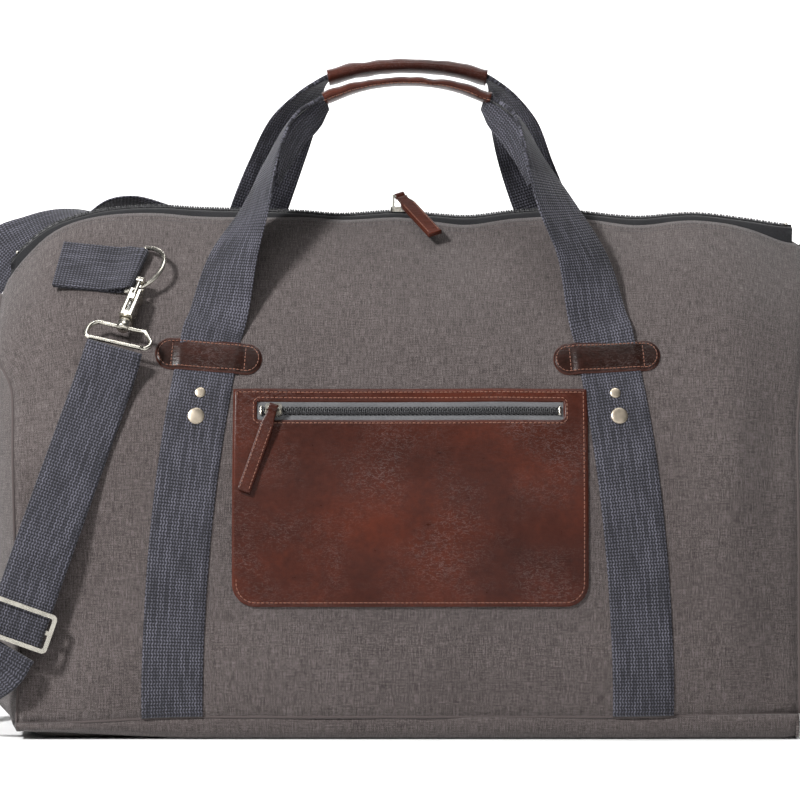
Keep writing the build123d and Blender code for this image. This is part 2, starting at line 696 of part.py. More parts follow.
for place_name, on_back in (("front", False), ("rear", True)):
    tab_plane = face_plane(ring_x, ring_height, 0.25, on_back, tab_tilts[on_back])
    bend = 0 if on_back else tab_bend
    bow_plane = ring_plane(on_back)
    jaw_plane = hook_plane(on_back)

    with BuildPart() as ring_tab:
        with BuildSketch(tab_plane):
            with Locations(Location((0, 0, 0), (0, 0, bend))):
                Rectangle(tab_length, strap_width, align=(Align.MAX, Align.CENTER))
            with Locations((10, 0)):
                Rectangle(23, 3 * strap_width, mode=Mode.SUBTRACT)
        extrude(amount=2 * webbing_thickness)
        eye_start = bow_plane.from_local_coords((0, -tab_eye_length / 2, 0))
        eye_plane = Plane(origin=eye_start, x_dir=bow_plane.x_dir, z_dir=bow_plane.y_dir)
        with BuildSketch(eye_plane):
            Circle(ring_wire / 2 + 0.1 + webbing_thickness)
        extrude(amount=tab_eye_length)
        with BuildSketch(eye_plane):
            Circle(ring_wire / 2 + 0.1)
        extrude(amount=tab_eye_length, mode=Mode.SUBTRACT)
    finish(ring_tab, f"{place_name}_ring_tab")

    with BuildPart() as d_ring:
        bow_start = bow_plane.from_local_coords((0, ring_radius, 0))
        with BuildSketch(Plane(origin=bow_start, z_dir=bow_plane.x_dir)):
            Circle(ring_wire / 2)
        revolve(axis=Axis(bow_plane.origin, bow_plane.z_dir), revolution_arc=-180)
        bar_start = bow_plane.from_local_coords((0, -ring_radius, 0))
        with BuildSketch(Plane(origin=bar_start, z_dir=bow_plane.y_dir)):
            Circle(ring_wire / 2)
        extrude(amount=2 * ring_radius)
        with Locations(bar_start, bow_start):
            Sphere(ring_wire / 2)
    finish(d_ring, f"{place_name}_d_ring")

    # The jaw is a round hook open on its outer side, between its tip and the barrel.
    with BuildPart() as hook_body:
        with BuildSketch(jaw_plane):
            Circle(hook_radius)
            Circle(jaw_radius, mode=Mode.SUBTRACT)
            with Locations((5.2, 4.0)):
                Rectangle(10.0, 8.0, mode=Mode.SUBTRACT)
        extrude(amount=hook_thickness / 2, both=True)
        with BuildSketch(jaw_plane):
            with Locations((barrel_start / 2 + 2, -5.6)):
                Rectangle(barrel_start + 4, 3.4)
        extrude(amount=hook_thickness / 2, both=True)
        with BuildSketch(jaw_plane):
            with Locations(((barrel_start + barrel_end) / 2, 0)):
                Rectangle(barrel_end - barrel_start, 13.6)
        extrude(amount=barrel_width / 2, both=True)
        fillet(hook_body.edges().filter_by(GeomType.LINE).group_by(Edge.length)[-1], 1.2)
        with BuildSketch(jaw_plane):
            with Locations(((barrel_start + barrel_end) / 2 - 1.5, 5.9)):
                Rectangle(barrel_end - barrel_start - 2.9, 4.0)
            with Locations((barrel_start + 1, 5.9)):
                Rectangle(4, 4.0)
        extrude(amount=1.9, both=True, mode=Mode.SUBTRACT)
        bore_start = jaw_plane.from_local_coords((barrel_end, 0, 0))
        with BuildSketch(Plane(origin=bore_start, z_dir=jaw_plane.x_dir)):
            Circle(pin_radius + 0.05)
        extrude(amount=-8.4, mode=Mode.SUBTRACT)
    finish(hook_body, f"{place_name}_hook_body")

    with BuildPart() as hook_gate:
        gate_start = jaw_plane.from_local_coords((0.8, gate_side, 0))
        with BuildSketch(Plane(origin=gate_start, z_dir=jaw_plane.x_dir)):
            Circle(1.4)
        extrude(amount=17.0)
        with BuildSketch(jaw_plane):
            with Locations((15.5, 7.6)):
                Rectangle(4.4, 3.0)
        extrude(amount=1.5, both=True)
    finish(hook_gate, f"{place_name}_hook_gate")

    with BuildPart() as gate_spring:
        spring_start = jaw_plane.from_local_coords((18.2, gate_side, 0))
        with BuildSketch(Plane(origin=spring_start, z_dir=jaw_plane.x_dir)):
            Circle(1.3)
            Circle(0.9, mode=Mode.SUBTRACT)
        extrude(amount=8.6)
    finish(gate_spring, f"{place_name}_gate_spring")

    # The swivel loop turns on a pin in the barrel's bore and carries the strap on its lower bar.
    loop_plane = Plane(origin=jaw_plane.origin, x_dir=jaw_plane.x_dir, z_dir=-jaw_plane.y_dir)
    boss_start = jaw_plane.from_local_coords((barrel_end + 0.3, 0, 0))
    boss_plane = Plane(origin=boss_start, z_dir=jaw_plane.x_dir)
    with BuildPart() as swivel_loop:
        with BuildSketch(boss_plane):
            Circle(4.4)
        extrude(amount=swivel_end - barrel_end)
        with BuildSketch(boss_plane):
            Circle(pin_radius)
        extrude(amount=-8.0)
        with BuildSketch(loop_plane):
            with Locations(((swivel_end - 3 + loop_bar) / 2, 0)):
                loop_length = loop_bar - swivel_end + 3
                RectangleRounded(loop_length + loop_wire, 2 * loop_half_width + loop_wire, 6)
                RectangleRounded(
                    loop_length - loop_wire,
                    2 * loop_half_width - loop_wire,
                    1.0,
                    mode=Mode.SUBTRACT,
                )
        extrude(amount=loop_wire / 2, both=True)
    finish(swivel_loop, f"{place_name}_swivel_loop")


# ---- shoulder strap: a doubled run down the front, then one long layer round to the back ------
def strap_eye(jaw_plane):
    """The strap's end folded round a swivel loop's lower bar."""
    eye_start = jaw_plane.from_local_coords((loop_bar, 0, -strap_width / 2))
    eye_plane = Plane(origin=eye_start, x_dir=jaw_plane.x_dir, z_dir=jaw_plane.z_dir)
    eye_radius = loop_wire / 2 + 0.05 + strap_thickness
    with BuildPart() as eye:
        with BuildSketch(eye_plane):
            Circle(eye_radius)
            Rectangle(2 * eye_radius, run_thickness, align=(Align.MIN, Align.CENTER))
            Rectangle(loop_wire + 0.1, loop_wire + 0.1, mode=Mode.SUBTRACT)
        extrude(amount=strap_width)
    return eye.part


front_jaw = hook_plane(False)
rear_jaw = hook_plane(True)
eye_gap = 3.2
run_standoff = 9.0
run_start = front_jaw.from_local_coords((loop_bar + eye_gap, 0, 0))
run_across = front_jaw.z_dir
face_across = Vector(run_top[1] - run_low[1], 0, run_low[0] - run_top[0]).normalized()
run_shares = (
    (0.14, run_standoff),
    (0.3, 6.5),
    (0.45, 6.0),
    (0.6, 7.0),
    (0.72, run_standoff),
    (1.0, run_standoff),
    (1.06, run_standoff),
)
run_line = [(run_start, run_across * -1)]
for share, standoff in run_shares:
    run_line.append((run_point(share, standoff), face_across))
run_band = ribbon(run_line, strap_width, run_thickness)
front_eye = strap_eye(front_jaw)
with BuildPart() as strap_run:
    add(run_band)
    add(front_eye)
finish(strap_run, "strap_run")

run_end = run_point(1.085, run_standoff)
rear_end = rear_jaw.from_local_coords((loop_bar + eye_gap, 0, 0))
rear_lead = rear_jaw.from_local_coords((loop_bar + 16, 0, 0))
slope_across = (0.0, 0.66, -0.75)


def behind_ridge(x, height):
    """A strap point lying on the back's slope, under the rear handle."""
    return tuple(face_plane(-x, height, 5.5, True).origin)


strap_line = [
    (tuple(run_end), face_across),
    ((-264.0, -135.0, 49.0), (0.93, 0.0, -0.37)),
    ((-275.0, -131.0, 40.0), (0.8, 0.15, -0.58)),
    ((-290.0, -116.0, 27.0), (0.78, 0.3, -0.5)),
    ((-299.0, -97.0, 14.0), (0.9, 0.35, -0.2)),
    ((-305.0, -76.0, 4.0), (0.97, 0.25, 0.0)),
    ((-310.0, -48.0, 4.0), (0.97, 0.2, 0.0)),
    ((-314.0, -22.0, 18.0), (0.97, 0.2, 0.0)),
    ((-316.0, -6.0, 52.0), (0.95, 0.3, 0.0)),
    ((-316.0, 2.0, 110.0), (0.6, 0.8, 0.0)),
    ((-317.0, 8.0, 180.0), (0.35, 0.9, 0.1)),
    ((-312.0, 16.0, 245.0), (0.1, 0.85, 0.5)),
    ((-296.0, 26.0, 296.0), (-0.25, 0.5, 0.82)),
    ((-275.0, 38.0, 336.0), (-0.3, 0.3, 0.9)),
    ((-251.0, 38.0, 355.0), (-0.1, 0.9, 0.4)),
    ((-222.0, 36.0, 357.0), (0.0, 0.99, 0.1)),
    ((-190.0, 34.0, 356.0), (0.0, 0.97, -0.25)),
    ((-162.0, 38.0, 344.0), (0.0, 0.8, -0.6)),
    (behind_ridge(-120.0, 324.0), slope_across),
    (behind_ridge(-60.0, 317.0), slope_across),
    (behind_ridge(0.0, 315.0), slope_across),
    (behind_ridge(60.0, 317.0), slope_across),
    (tuple(rear_lead), rear_jaw.z_dir),
    (tuple(rear_end), rear_jaw.z_dir),
]
strap_band = ribbon(strap_line, strap_width, strap_thickness)
rear_eye = strap_eye(rear_jaw)
with BuildPart() as shoulder_strap:
    add(strap_band)
    add(rear_eye)
finish(shoulder_strap, "shoulder_strap")

# The adjuster's long wires lie over the strap and its middle bar lies behind it.
adjuster_length = 26.0
adjuster_width = 48.0
adjuster_wire = 2.8
adjuster_rise = run_thickness / 2 + adjuster_wire / 2 + 0.3
adjuster_plane = Plane(origin=run_point(1.0, run_standoff), x_dir=face_across, z_dir=(0, -1, 0))
with BuildPart() as strap_adjuster:
    with BuildSketch(adjuster_plane.offset(adjuster_rise)):
        RectangleRounded(adjuster_width, adjuster_length, 3.5)
        RectangleRounded(
            adjuster_width - 2 * adjuster_wire,
            adjuster_length - 2 * adjuster_wire,
            1.5,
            mode=Mode.SUBTRACT,
        )
    extrude(amount=adjuster_wire / 2, both=True)
    with BuildSketch(adjuster_plane.offset(adjuster_rise)):
        for side in (-1, 1):
            with Locations((side * (adjuster_width - adjuster_wire) / 2, 0)):
                Rectangle(adjuster_wire, adjuster_wire)
    extrude(amount=-2 * adjuster_rise)
    with BuildSketch(adjuster_plane.offset(-adjuster_rise)):
        Rectangle(adjuster_width, adjuster_wire)
    extrude(amount=adjuster_wire / 2, both=True)
finish(strap_adjuster, "strap_adjuster")
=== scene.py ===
import bisect
from math import asin, cos, pi, radians, sin, sqrt

import bmesh
import bpy
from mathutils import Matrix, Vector, noise


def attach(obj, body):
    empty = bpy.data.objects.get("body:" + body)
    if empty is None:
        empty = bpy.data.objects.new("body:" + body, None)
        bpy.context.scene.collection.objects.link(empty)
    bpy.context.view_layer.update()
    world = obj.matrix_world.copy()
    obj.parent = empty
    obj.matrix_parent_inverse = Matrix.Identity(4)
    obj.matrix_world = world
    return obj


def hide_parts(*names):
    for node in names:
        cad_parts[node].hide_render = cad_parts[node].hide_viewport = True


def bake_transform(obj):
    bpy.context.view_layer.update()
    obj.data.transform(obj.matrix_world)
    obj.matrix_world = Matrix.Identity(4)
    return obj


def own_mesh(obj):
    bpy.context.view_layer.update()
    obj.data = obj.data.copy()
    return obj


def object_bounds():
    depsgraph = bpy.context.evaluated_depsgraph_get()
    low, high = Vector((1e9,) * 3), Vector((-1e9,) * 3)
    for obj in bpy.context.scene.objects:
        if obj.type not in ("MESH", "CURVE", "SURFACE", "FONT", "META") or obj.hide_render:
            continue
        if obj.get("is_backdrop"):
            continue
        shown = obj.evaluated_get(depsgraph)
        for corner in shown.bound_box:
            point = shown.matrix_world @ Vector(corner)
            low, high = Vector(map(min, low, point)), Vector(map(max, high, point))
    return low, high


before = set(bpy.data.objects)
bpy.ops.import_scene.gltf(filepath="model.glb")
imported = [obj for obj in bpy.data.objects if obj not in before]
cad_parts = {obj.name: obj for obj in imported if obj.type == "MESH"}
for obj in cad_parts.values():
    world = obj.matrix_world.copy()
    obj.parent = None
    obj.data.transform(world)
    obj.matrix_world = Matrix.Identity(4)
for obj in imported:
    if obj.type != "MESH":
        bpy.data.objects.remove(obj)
cad_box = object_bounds()

# ---- driving sizes, in millimetres ----
MM = 0.001
half_length = 253.0
half_depth = 125.0
wall_top = 120.0
base_seam = 15.0
base_corner = 12.0
edge_depth = 12.0
edge_height = 342.0
face_radius = ((half_depth - edge_depth) ** 2 + (edge_height - wall_top) ** 2) / (
    2 * (half_depth - edge_depth)
)
wall_run = wall_top - base_seam
face_run = wall_run + face_radius * asin((edge_height - wall_top) / face_radius)
canvas = 2.0
webbing = 1.6
webbing_width = 39.5
webbing_foot_x = 152.0
webbing_lean_radius = 1276.0
handle_root = 272.0
keeper_x = 130.0
keeper_height = 247.0
keeper_tilt = radians(4.0)
keeper_half = 35.0
keeper_end = 10.0
strap_width = 38.0
ring_x = -180.0
ring_height = 303.0
bow_radius = 20.5
camera_distance = 2500.0
seen_width = 516.1
coil_low = 345.3
zip_half = 247.0


# ---- small tools ----
def ease(share):
    """0 below 0, 1 above 1 and a smooth rise between."""
    share = min(1.0, max(0.0, share))
    return share * share * (3 - 2 * share)


def bump(value, middle, reach):
    """1 at the middle, falling smoothly to 0 at the reach on either side."""
    return 1 - ease(abs(value - middle) / reach)


def steps(low, high, pitch):
    """Evenly spaced values from low to high, about a pitch apart."""
    count = max(1, round((high - low) / pitch))
    return [low + (high - low) * index / count for index in range(count + 1)]


def curve_through(rows, pitch):
    """Rows of numbers, the first three a place, joined by a smooth curve and read every pitch."""
    along = [0.0]
    for before, after in zip(rows, rows[1:]):
        along.append(along[-1] + max(1e-6, (Vector(after[:3]) - Vector(before[:3])).length))
    slopes = []
    for index in range(len(rows)):
        low = max(0, index - 1)
        high = min(len(rows) - 1, index + 1)
        span = along[high] - along[low]
        slopes.append([(b - a) / span for a, b in zip(rows[low], rows[high])])
    out = []
    for place in steps(0, along[-1], pitch):
        index = min(len(rows) - 2, max(0, bisect.bisect_right(along, place) - 1))
        span = along[index + 1] - along[index]
        t = (place - along[index]) / span
        start_pull = t * (1 - t) ** 2 * span
        end_pull = t * t * (t - 1) * span
        rise = ease(t)
        out.append(
            [
                a + (b - a) * rise + start_pull * sa + end_pull * sb
                for a, b, sa, sb in zip(rows[index], rows[index + 1], slopes[index], slopes[index + 1])
            ]
        )
    return out


def line_at(points, value):
    """The height at a place of a smooth line through (place, height) points."""
    places = [point[0] for point in points]
    value = min(places[-1], max(places[0], value))
    index = min(len(points) - 2, max(0, bisect.bisect_right(places, value) - 1))
    slopes = []
    for end in (index, index + 1):
        (xa, ya), (xb, yb) = points[max(0, end - 1)], points[min(len(points) - 1, end + 1)]
        slopes.append((yb - ya) / (xb - xa))
    x0, y0 = points[index]
    x1, y1 = points[index + 1]
    span = x1 - x0
    t = (value - x0) / span
    return y0 + (y1 - y0) * ease(t) + span * t * (1 - t) * (slopes[0] * (1 - t) - slopes[1] * t)


def show(name, data):
    """An object in the scene, made from a mesh, a light or a camera."""
    thing = bpy.data.objects.new(name, data)
    bpy.context.scene.collection.objects.link(thing)
    return thing


def piece(name, verts, faces, material, uvs=None, body="root", stands_for=(), rims=None, slot=None):
    """A mesh piece from points in millimetres. uvs are millimetres of cloth, rims mark worn edges."""
    mesh = bpy.data.meshes.new(name)
    mesh.from_pydata([Vector(v) * MM for v in verts], [], faces)
    if uvs:
        cloth = mesh.uv_layers.new(name="cloth")
        for loop in mesh.loops:
            u, v = uvs[loop.vertex_index]
            cloth.data[loop.index].uv = (u * MM, v * MM)
    if rims:
        worn = mesh.attributes.new("rim", "FLOAT", "POINT")
        for index, value in enumerate(rims):
            worn.data[index].value = value
    shape = bmesh.new()
    shape.from_mesh(mesh)
    bmesh.ops.recalc_face_normals(shape, faces=shape.faces)
    shape.to_mesh(mesh)
    shape.free()
    for polygon in mesh.polygons:
        polygon.use_smooth = True
    mesh.materials.append(material)
    thing = show(name, mesh)
    if body:
        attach(thing, body)
    if stands_for:
        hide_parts(*stands_for)
    return thing


def layer(name, us, vs, place, top, low, material, keep=None, uv=None, rim=None, **facts):
    """A layer of cloth or leather over a grid: place(u, v, proud) gives a point of it."""
    columns = len(us)
    verts = []
    uvs = []
    rims = []
    for side in (top, low):
        for v in vs:
            for u in us:
                proud = side(u, v) if callable(side) else side
                verts.append(place(u, v, proud))
                uvs.append(uv(u, v) if uv else (u, v))
                rims.append(rim(u, v) if rim else 0.0)
    under = columns * len(vs)
    kept = set()
    for j in range(len(vs) - 1):
        for i in range(columns - 1):
            if keep is None or keep((us[i] + us[i + 1]) / 2, (vs[j] + vs[j + 1]) / 2):
                kept.add((i, j))
    faces = []
    for i, j in sorted(kept):
        a = j * columns + i
        b = a + 1
        c = b + columns
        d = a + columns
        faces.append((a, b, c, d))
        faces.append((under + d, under + c, under + b, under + a))
        edges = {(i, j - 1): (a, b), (i + 1, j): (b, c), (i, j + 1): (c, d), (i - 1, j): (d, a)}
        for neighbour, (p, q) in edges.items():
            if neighbour not in kept:
                faces.append((q, p, under + p, under + q))
    used = sorted({index for face in faces for index in face})
    new = {old: index for index, old in enumerate(used)}
    return piece(
        name,
        [verts[index] for index in used],
        [tuple(new[index] for index in face) for face in faces],
        material,
        [uvs[index] for index in used],
        rims=[rims[index] for index in used] if rim else None,
        **facts,
    )


# Cross sections as (share of half the width, share of half the thickness).
RIBBON_TOP = [(-1, 0), (-0.985, 0.7)] + [(a, 1) for a in (-0.93, -0.6, -0.2, 0.2, 0.6, 0.93)] + [(0.985, 0.7)]
RIBBON_SECTION = RIBBON_TOP + [(-a, -b) for a, b in RIBBON_TOP]
SLEEVE_SECTION = [(cos(2 * pi * k / 20), sin(2 * pi * k / 20)) for k in range(20)]


def swept_faces(base, rings, size):
    """The walls and the two ends of a shape swept through rings of so many points, from vertex base on."""
    faces = []
    for ring in range(rings - 1):
        for k in range(size):
            a = base + ring * size + k
            b = base + ring * size + (k + 1) % size
            faces.append((a, b, b + size, a + size))
    end = base + rings * size
    faces.append(tuple(range(base, base + size)))
    faces.append(tuple(range(end - size, end)))
    return faces


def ribbon(name, stations, material, section=RIBBON_SECTION, pitch=3.0, start_v=0.0, **facts):
    """Stations are (x, y, z, across x, y, z, width, thickness). Webbing swept through them."""
    rows = curve_through(stations, pitch)
    points = [Vector(row[:3]) for row in rows]
    verts = []
    uvs = []
    travelled = start_v
    for index, row in enumerate(rows):
        ahead = points[min(index + 1, len(points) - 1)] - points[max(index - 1, 0)]
        ahead.normalize()
        across = Vector(row[3:6])
        across = (across - ahead * across.dot(ahead)).normalized()
        out = ahead.cross(across)
        half_width = row[6] / 2
        half_thick = row[7] / 2
        if index:
            travelled += (points[index] - points[index - 1]).length
        for a, b in section:
            verts.append(points[index] + across * (a * half_width) + out * (b * half_thick))
            uvs.append((a * half_width, travelled))
    return piece(name, verts, swept_faces(0, len(rows), len(section)), material, uvs, **facts)


def tubes(name, runs, radius, material, sides=6, flat=None, **facts):
    """Round threads or wires, one along each run of points. flat is square to a wire bent in a plane."""
    verts = []
    faces = []
    for run in runs:
        base = len(verts)
        for index, point in enumerate(run):
            ahead = (run[min(index + 1, len(run) - 1)] - run[max(index - 1, 0)]).normalized()
            across = flat or ahead.orthogonal().normalized()
            out = ahead.cross(across)
            for k in range(sides):
                angle = 2 * pi * k / sides
                verts.append(point + (across * cos(angle) + out * sin(angle)) * radius)
        faces += swept_faces(base, len(run), sides)
    return piece(name, verts, faces, material, **facts)


def stitches(name, path, pitch=3.1, length=2.2, radius=0.34, **facts):
    """A row of thread stitches along a path of (point, outward) pairs."""
    sink = 0.25
    runs = []
    travelled = [0.0]
    for (before, _), (after, _) in zip(path, path[1:]):
        travelled.append(travelled[-1] + (after - before).length)

    def at(place):
        index = min(len(path) - 2, max(0, bisect.bisect_right(travelled, place) - 1))
        share = (place - travelled[index]) / max(1e-6, travelled[index + 1] - travelled[index])
        return path[index][0].lerp(path[index + 1][0], share), path[index][1]

    for start in steps(0, travelled[-1], pitch)[:-1]:
        run = []
        for share, lift in ((0, -sink), (0.2, radius * 0.5), (0.8, radius * 0.5), (1, -sink)):
            point, out = at(start + length * share)
            run.append(point + out * lift)
        runs.append(run)
    return tubes(name, runs, radius, thread_material, sides=5, **facts)


def lathe(name, frames, outline, material, sides=28, **facts):
    """Turned pieces, such as rivets: outline is (radius, height) from each frame's origin."""
    verts = []
    faces = []
    for origin, x_dir, y_dir, z_dir in frames:
        base = len(verts)
        for radius, height in outline:
            for k in range(sides):
                angle = 2 * pi * k / sides
                turn = x_dir * cos(angle) + y_dir * sin(angle)
                verts.append(origin + turn * radius + z_dir * height)
        faces += swept_faces(base, len(outline), sides)
    return piece(name, verts, faces, material, **facts)


# ---- materials ----
class Surface:
    """A material being built: add() makes a node, and feeds it numbers, colours or other nodes."""

    def __init__(self, name):
        self.material = bpy.data.materials.new(name)
        self.material.use_nodes = True
        self.tree = self.material.node_tree
        self.shader = self.tree.nodes["Principled BSDF"]

    def feed(self, socket, value):
        if isinstance(value, bpy.types.NodeSocket):
            self.tree.links.new(value, socket)
        else:
            socket.default_value = value

    def add(self, kind, *values, out=0, **settings):
        node = self.tree.nodes.new(kind)
        for key, value in settings.items():
            setattr(node, key, value)
        for socket, value in zip(node.inputs, values):
            if value is not None:
                self.feed(socket, value)
        return node.outputs[out]

    def math(self, operation, *values):
        return self.add("ShaderNodeMath", *values, operation=operation)

    def cloth(self):
        """Across and along the cloth, in metres."""
        node = self.tree.nodes.new("ShaderNodeUVMap")
        node.uv_map = "cloth"
        split = self.tree.nodes.new("ShaderNodeSeparateXYZ")
        self.tree.links.new(node.outputs[0], split.inputs[0])
        return node.outputs[0], split.outputs[0], split.outputs[1]

    def place(self):
        return self.add("ShaderNodeTexCoord", out=3)

    def grain(self, where, scale, detail=3.0, stretch=(1, 1, 1), rough=0.55):
        """Soft noise at so many spots a metre, drawn out by the stretch."""
        moved = self.add("ShaderNodeMapping", where, None, None, tuple(scale * s for s in stretch))
        node = self.tree.nodes.new("ShaderNodeTexNoise")
        self.feed(node.inputs["Vector"], moved)
        node.inputs["Scale"].default_value = 1.0
        node.inputs["Detail"].default_value = detail
        node.inputs["Roughness"].default_value = rough
        return node.outputs["Fac"]

    def sum(self, first, *weighted):
        """The first value and each (value, weight) after it, added up."""
        for value, weight in weighted:
            first = self.math("MULTIPLY_ADD", value, weight, first)
        return first

    def ramp(self, fac, *stops):
        node = self.tree.nodes.new("ShaderNodeValToRGB")
        ramp = node.color_ramp
        while len(ramp.elements) < len(stops):
            ramp.elements.new(0.5)
        for element, (place, colour) in zip(ramp.elements, stops):
            element.position = place
            element.color = (*colour, 1)
        self.feed(node.inputs[0], fac)
        return node.outputs[0]

    def mix(self, fac, one, two):
        node = self.tree.nodes.new("ShaderNodeMix")
        node.data_type = "RGBA"
        self.feed(node.inputs[0], fac)
        self.feed(node.inputs[6], one)
        self.feed(node.inputs[7], two)
        return node.outputs[2]

    def bump(self, height, distance, strength=1.0, normal=None):
        node = self.tree.nodes.new("ShaderNodeBump")
        node.inputs["Strength"].default_value = strength
        node.inputs["Distance"].default_value = distance
        self.feed(node.inputs["Height"], height)
        if normal is not None:
            self.feed(node.inputs["Normal"], normal)
        return node.outputs[0]

    def finish(self, colour, roughness, normal=None, **sockets):
        self.feed(self.shader.inputs["Base Color"], colour)
        self.feed(self.shader.inputs["Roughness"], roughness)
        if normal is not None:
            self.feed(self.shader.inputs["Normal"], normal)
        for name, value in sockets.items():
            self.shader.inputs[name.replace("_", " ").title().replace("Ior", "IOR")].default_value = value
        return self.material


def make_canvas(name, dark, mid, light):
    """Slubby cotton canvas: uneven upright yarns over a plain weave."""
    s = Surface(name)
    where, across, along = s.cloth()
    slubs = s.grain(where, 1.0, 2.0, (1900, 130, 1))
    long_slubs = s.grain(where, 1.0, 2.0, (700, 16, 1))
    weft = s.grain(where, 1.0, 2.0, (110, 1500, 1))
    cloudy = s.grain(where, 9.0, 3.0)
    specks = s.grain(where, 1.0, 1.0, (1500, 900, 1))
    warp_pitch = 0.0011
    weft_pitch = 0.0013
    warp_wave = s.math("SINE", s.math("MULTIPLY", across, 2 * pi / warp_pitch))
    weft_wave = s.math("SINE", s.math("MULTIPLY", along, 2 * pi / weft_pitch))
    weave = s.math("MULTIPLY", warp_wave, weft_wave)
    tone = s.math("MULTIPLY", long_slubs, 0.14)
    tone = s.sum(tone, (slubs, 0.6), (weft, 0.38), (specks, 0.5), (cloudy, 0.14), (weave, 0.07))
    tone = s.sum(-1.26, (tone, 2.0))
    colour = s.ramp(tone, (0.12, dark), (0.5, mid), (0.88, light))
    height = s.math("MULTIPLY_ADD", weave, 0.35, s.math("ADD", slubs, s.math("MULTIPLY", weft, 0.6)))
    normal = s.bump(height, 0.00045, 0.75)
    return s.finish(colour, 0.93, normal, sheen_weight=0.18, sheen_roughness=0.5, specular_ior_level=0.15)


def make_webbing(name, dark, mid, light):
    """Ribbed strap webbing: cross ribs with zigzag columns of yarn."""
    s = Surface(name)
    where, across, along = s.cloth()
    rib_pitch = 0.0021
    column_pitch = 0.0019
    rib_turn = s.math("MULTIPLY", along, 1 / rib_pitch)
    rib = s.math("ABSOLUTE", s.math("SINE", s.math("MULTIPLY", rib_turn, pi)))
    rib = s.math("POWER", rib, 0.55)
    zigzag = s.math("PINGPONG", rib_turn, 1.0)
    column_turn = s.math("MULTIPLY_ADD", across, 1 / column_pitch, s.math("MULTIPLY", zigzag, 0.5))
    column = s.math("SINE", s.math("MULTIPLY", column_turn, 2 * pi))
    column = s.math("MULTIPLY_ADD", column, 0.5, 0.5)
    uneven = s.grain(where, 1.0, 1.0, (420, 45, 1))
    uneven = s.ramp(uneven, (0.3, (0.35, 0.35, 0.35)), (0.7, (1, 1, 1)))
    column = s.math("MULTIPLY", column, uneven)
    fuzz = s.grain(where, 1.0, 2.0, (2200, 1500, 1))
    drift = s.grain(where, 28.0, 2.0)
    tone = s.sum(s.math("MULTIPLY", rib, 0.38), (column, 0.55), (fuzz, 0.55), (drift, 0.25))
    tone = s.sum(-0.53, (tone, 1.2))
    colour = s.ramp(tone, (0.08, dark), (0.5, mid), (0.92, light))
    height = s.math("MULTIPLY_ADD", column, 0.45, s.math("MULTIPLY_ADD", fuzz, 0.3, rib))
    normal = s.bump(height, 0.0006, 0.8)
    return s.finish(colour, 0.72, normal, sheen_weight=0.12, sheen_roughness=0.45, specular_ior_level=0.3)


def make_leather(name, dark, mid, light, edge):
    """Glazed leather: cloudy brown, fine grain, painted highlights along short creases, and rubbed edges."""
    s = Surface(name)
    where = s.place()
    cloud = s.grain(where, 11.0, 3.0, (1, 1, 1.3), 0.55)
    mottle = s.grain(where, 240.0, 3.0, (1, 1, 1), 0.6)
    creases = s.grain(where, 480.0, 4.0, (0.5, 1, 1.2), 0.6)
    patch = s.grain(where, 24.0, 2.0)
    tone = s.math("MULTIPLY_ADD", cloud, 1.3, s.math("MULTIPLY", mottle, 0.5))
    tone = s.math("ADD", tone, -0.4)
    colour = s.ramp(tone, (0.1, dark), (0.5, mid), (0.95, light))
    # Thin lines along the creases, in some patches, are mixed towards the rubbed edge colour lifted near
    # white: painted highlights.
    off_glint_line = s.math("ABSOLUTE", s.math("SUBTRACT", creases, 0.5))
    line = s.ramp(off_glint_line, (0.0, (1, 1, 1)), (0.022, (0, 0, 0)))
    line = s.math("MULTIPLY", line, s.ramp(patch, (0.42, (0, 0, 0)), (0.7, (0.3, 0.3, 0.3))))
    colour = s.mix(line, colour, (*(0.2 + 0.8 * c for c in edge), 1))
    rim = s.tree.nodes.new("ShaderNodeAttribute")
    rim.attribute_name = "rim"
    colour = s.mix(s.math("MULTIPLY", rim.outputs["Fac"], 0.5), colour, (*edge, 1))
    rough = s.math("MULTIPLY_ADD", mottle, 0.2, 0.22)
    height = s.math("MULTIPLY_ADD", creases, 1.2, s.math("MULTIPLY", mottle, 0.5))
    normal = s.bump(height, 0.0004, 0.5)
    return s.finish(colour, rough, normal, coat_weight=0.03, coat_roughness=0.2, specular_ior_level=0.15)


def make_metal(name, colour, roughness):
    """Plated metal with a faint cast surface and dull spots."""
    s = Surface(name)
    where = s.place()
    patches = s.grain(where, 160.0, 3.0)
    fine = s.grain(where, 1800.0, 2.0)
    dull = tuple(c * 0.72 for c in colour)
    tint = s.ramp(patches, (0.3, dull), (0.7, colour))
    rough = s.math("MULTIPLY_ADD", patches, 0.16, roughness - 0.08)
    normal = s.bump(fine, 0.00006, 0.5)
    return s.finish(tint, rough, normal, metallic=1.0)


def make_plain_weave(name, dark, light, pitch):
    """Fine woven tape or lining."""
    s = Surface(name)
    where = s.place()
    yarn = s.grain(where, 1 / pitch, 2.0, (1, 1, 2.2))
    patches = s.grain(where, 60.0, 2.0)
    tone = s.sum(s.math("MULTIPLY", yarn, 0.6), (patches, 0.4))
    colour = s.ramp(tone, (0.3, dark), (0.7, light))
    normal = s.bump(yarn, 0.0002, 0.6)
    return s.finish(colour, 0.85, normal, sheen_weight=0.1, specular_ior_level=0.2)


def make_thread(name, dark, light):
    """Twisted sewing thread."""
    s = Surface(name)
    twist = s.grain(s.place(), 1400.0, 2.0)
    colour = s.ramp(twist, (0.3, dark), (0.7, light))
    return s.finish(colour, 0.6, s.bump(twist, 0.00015, 0.6), sheen_weight=0.2)


def make_nylon(name, dark, light):
    """Zip coil filament."""
    s = Surface(name)
    patches = s.grain(s.place(), 300.0, 2.0)
    colour = s.ramp(patches, (0.3, dark), (0.7, light))
    return s.finish(colour, s.math("MULTIPLY_ADD", patches, 0.15, 0.3), specular_ior_level=0.5)


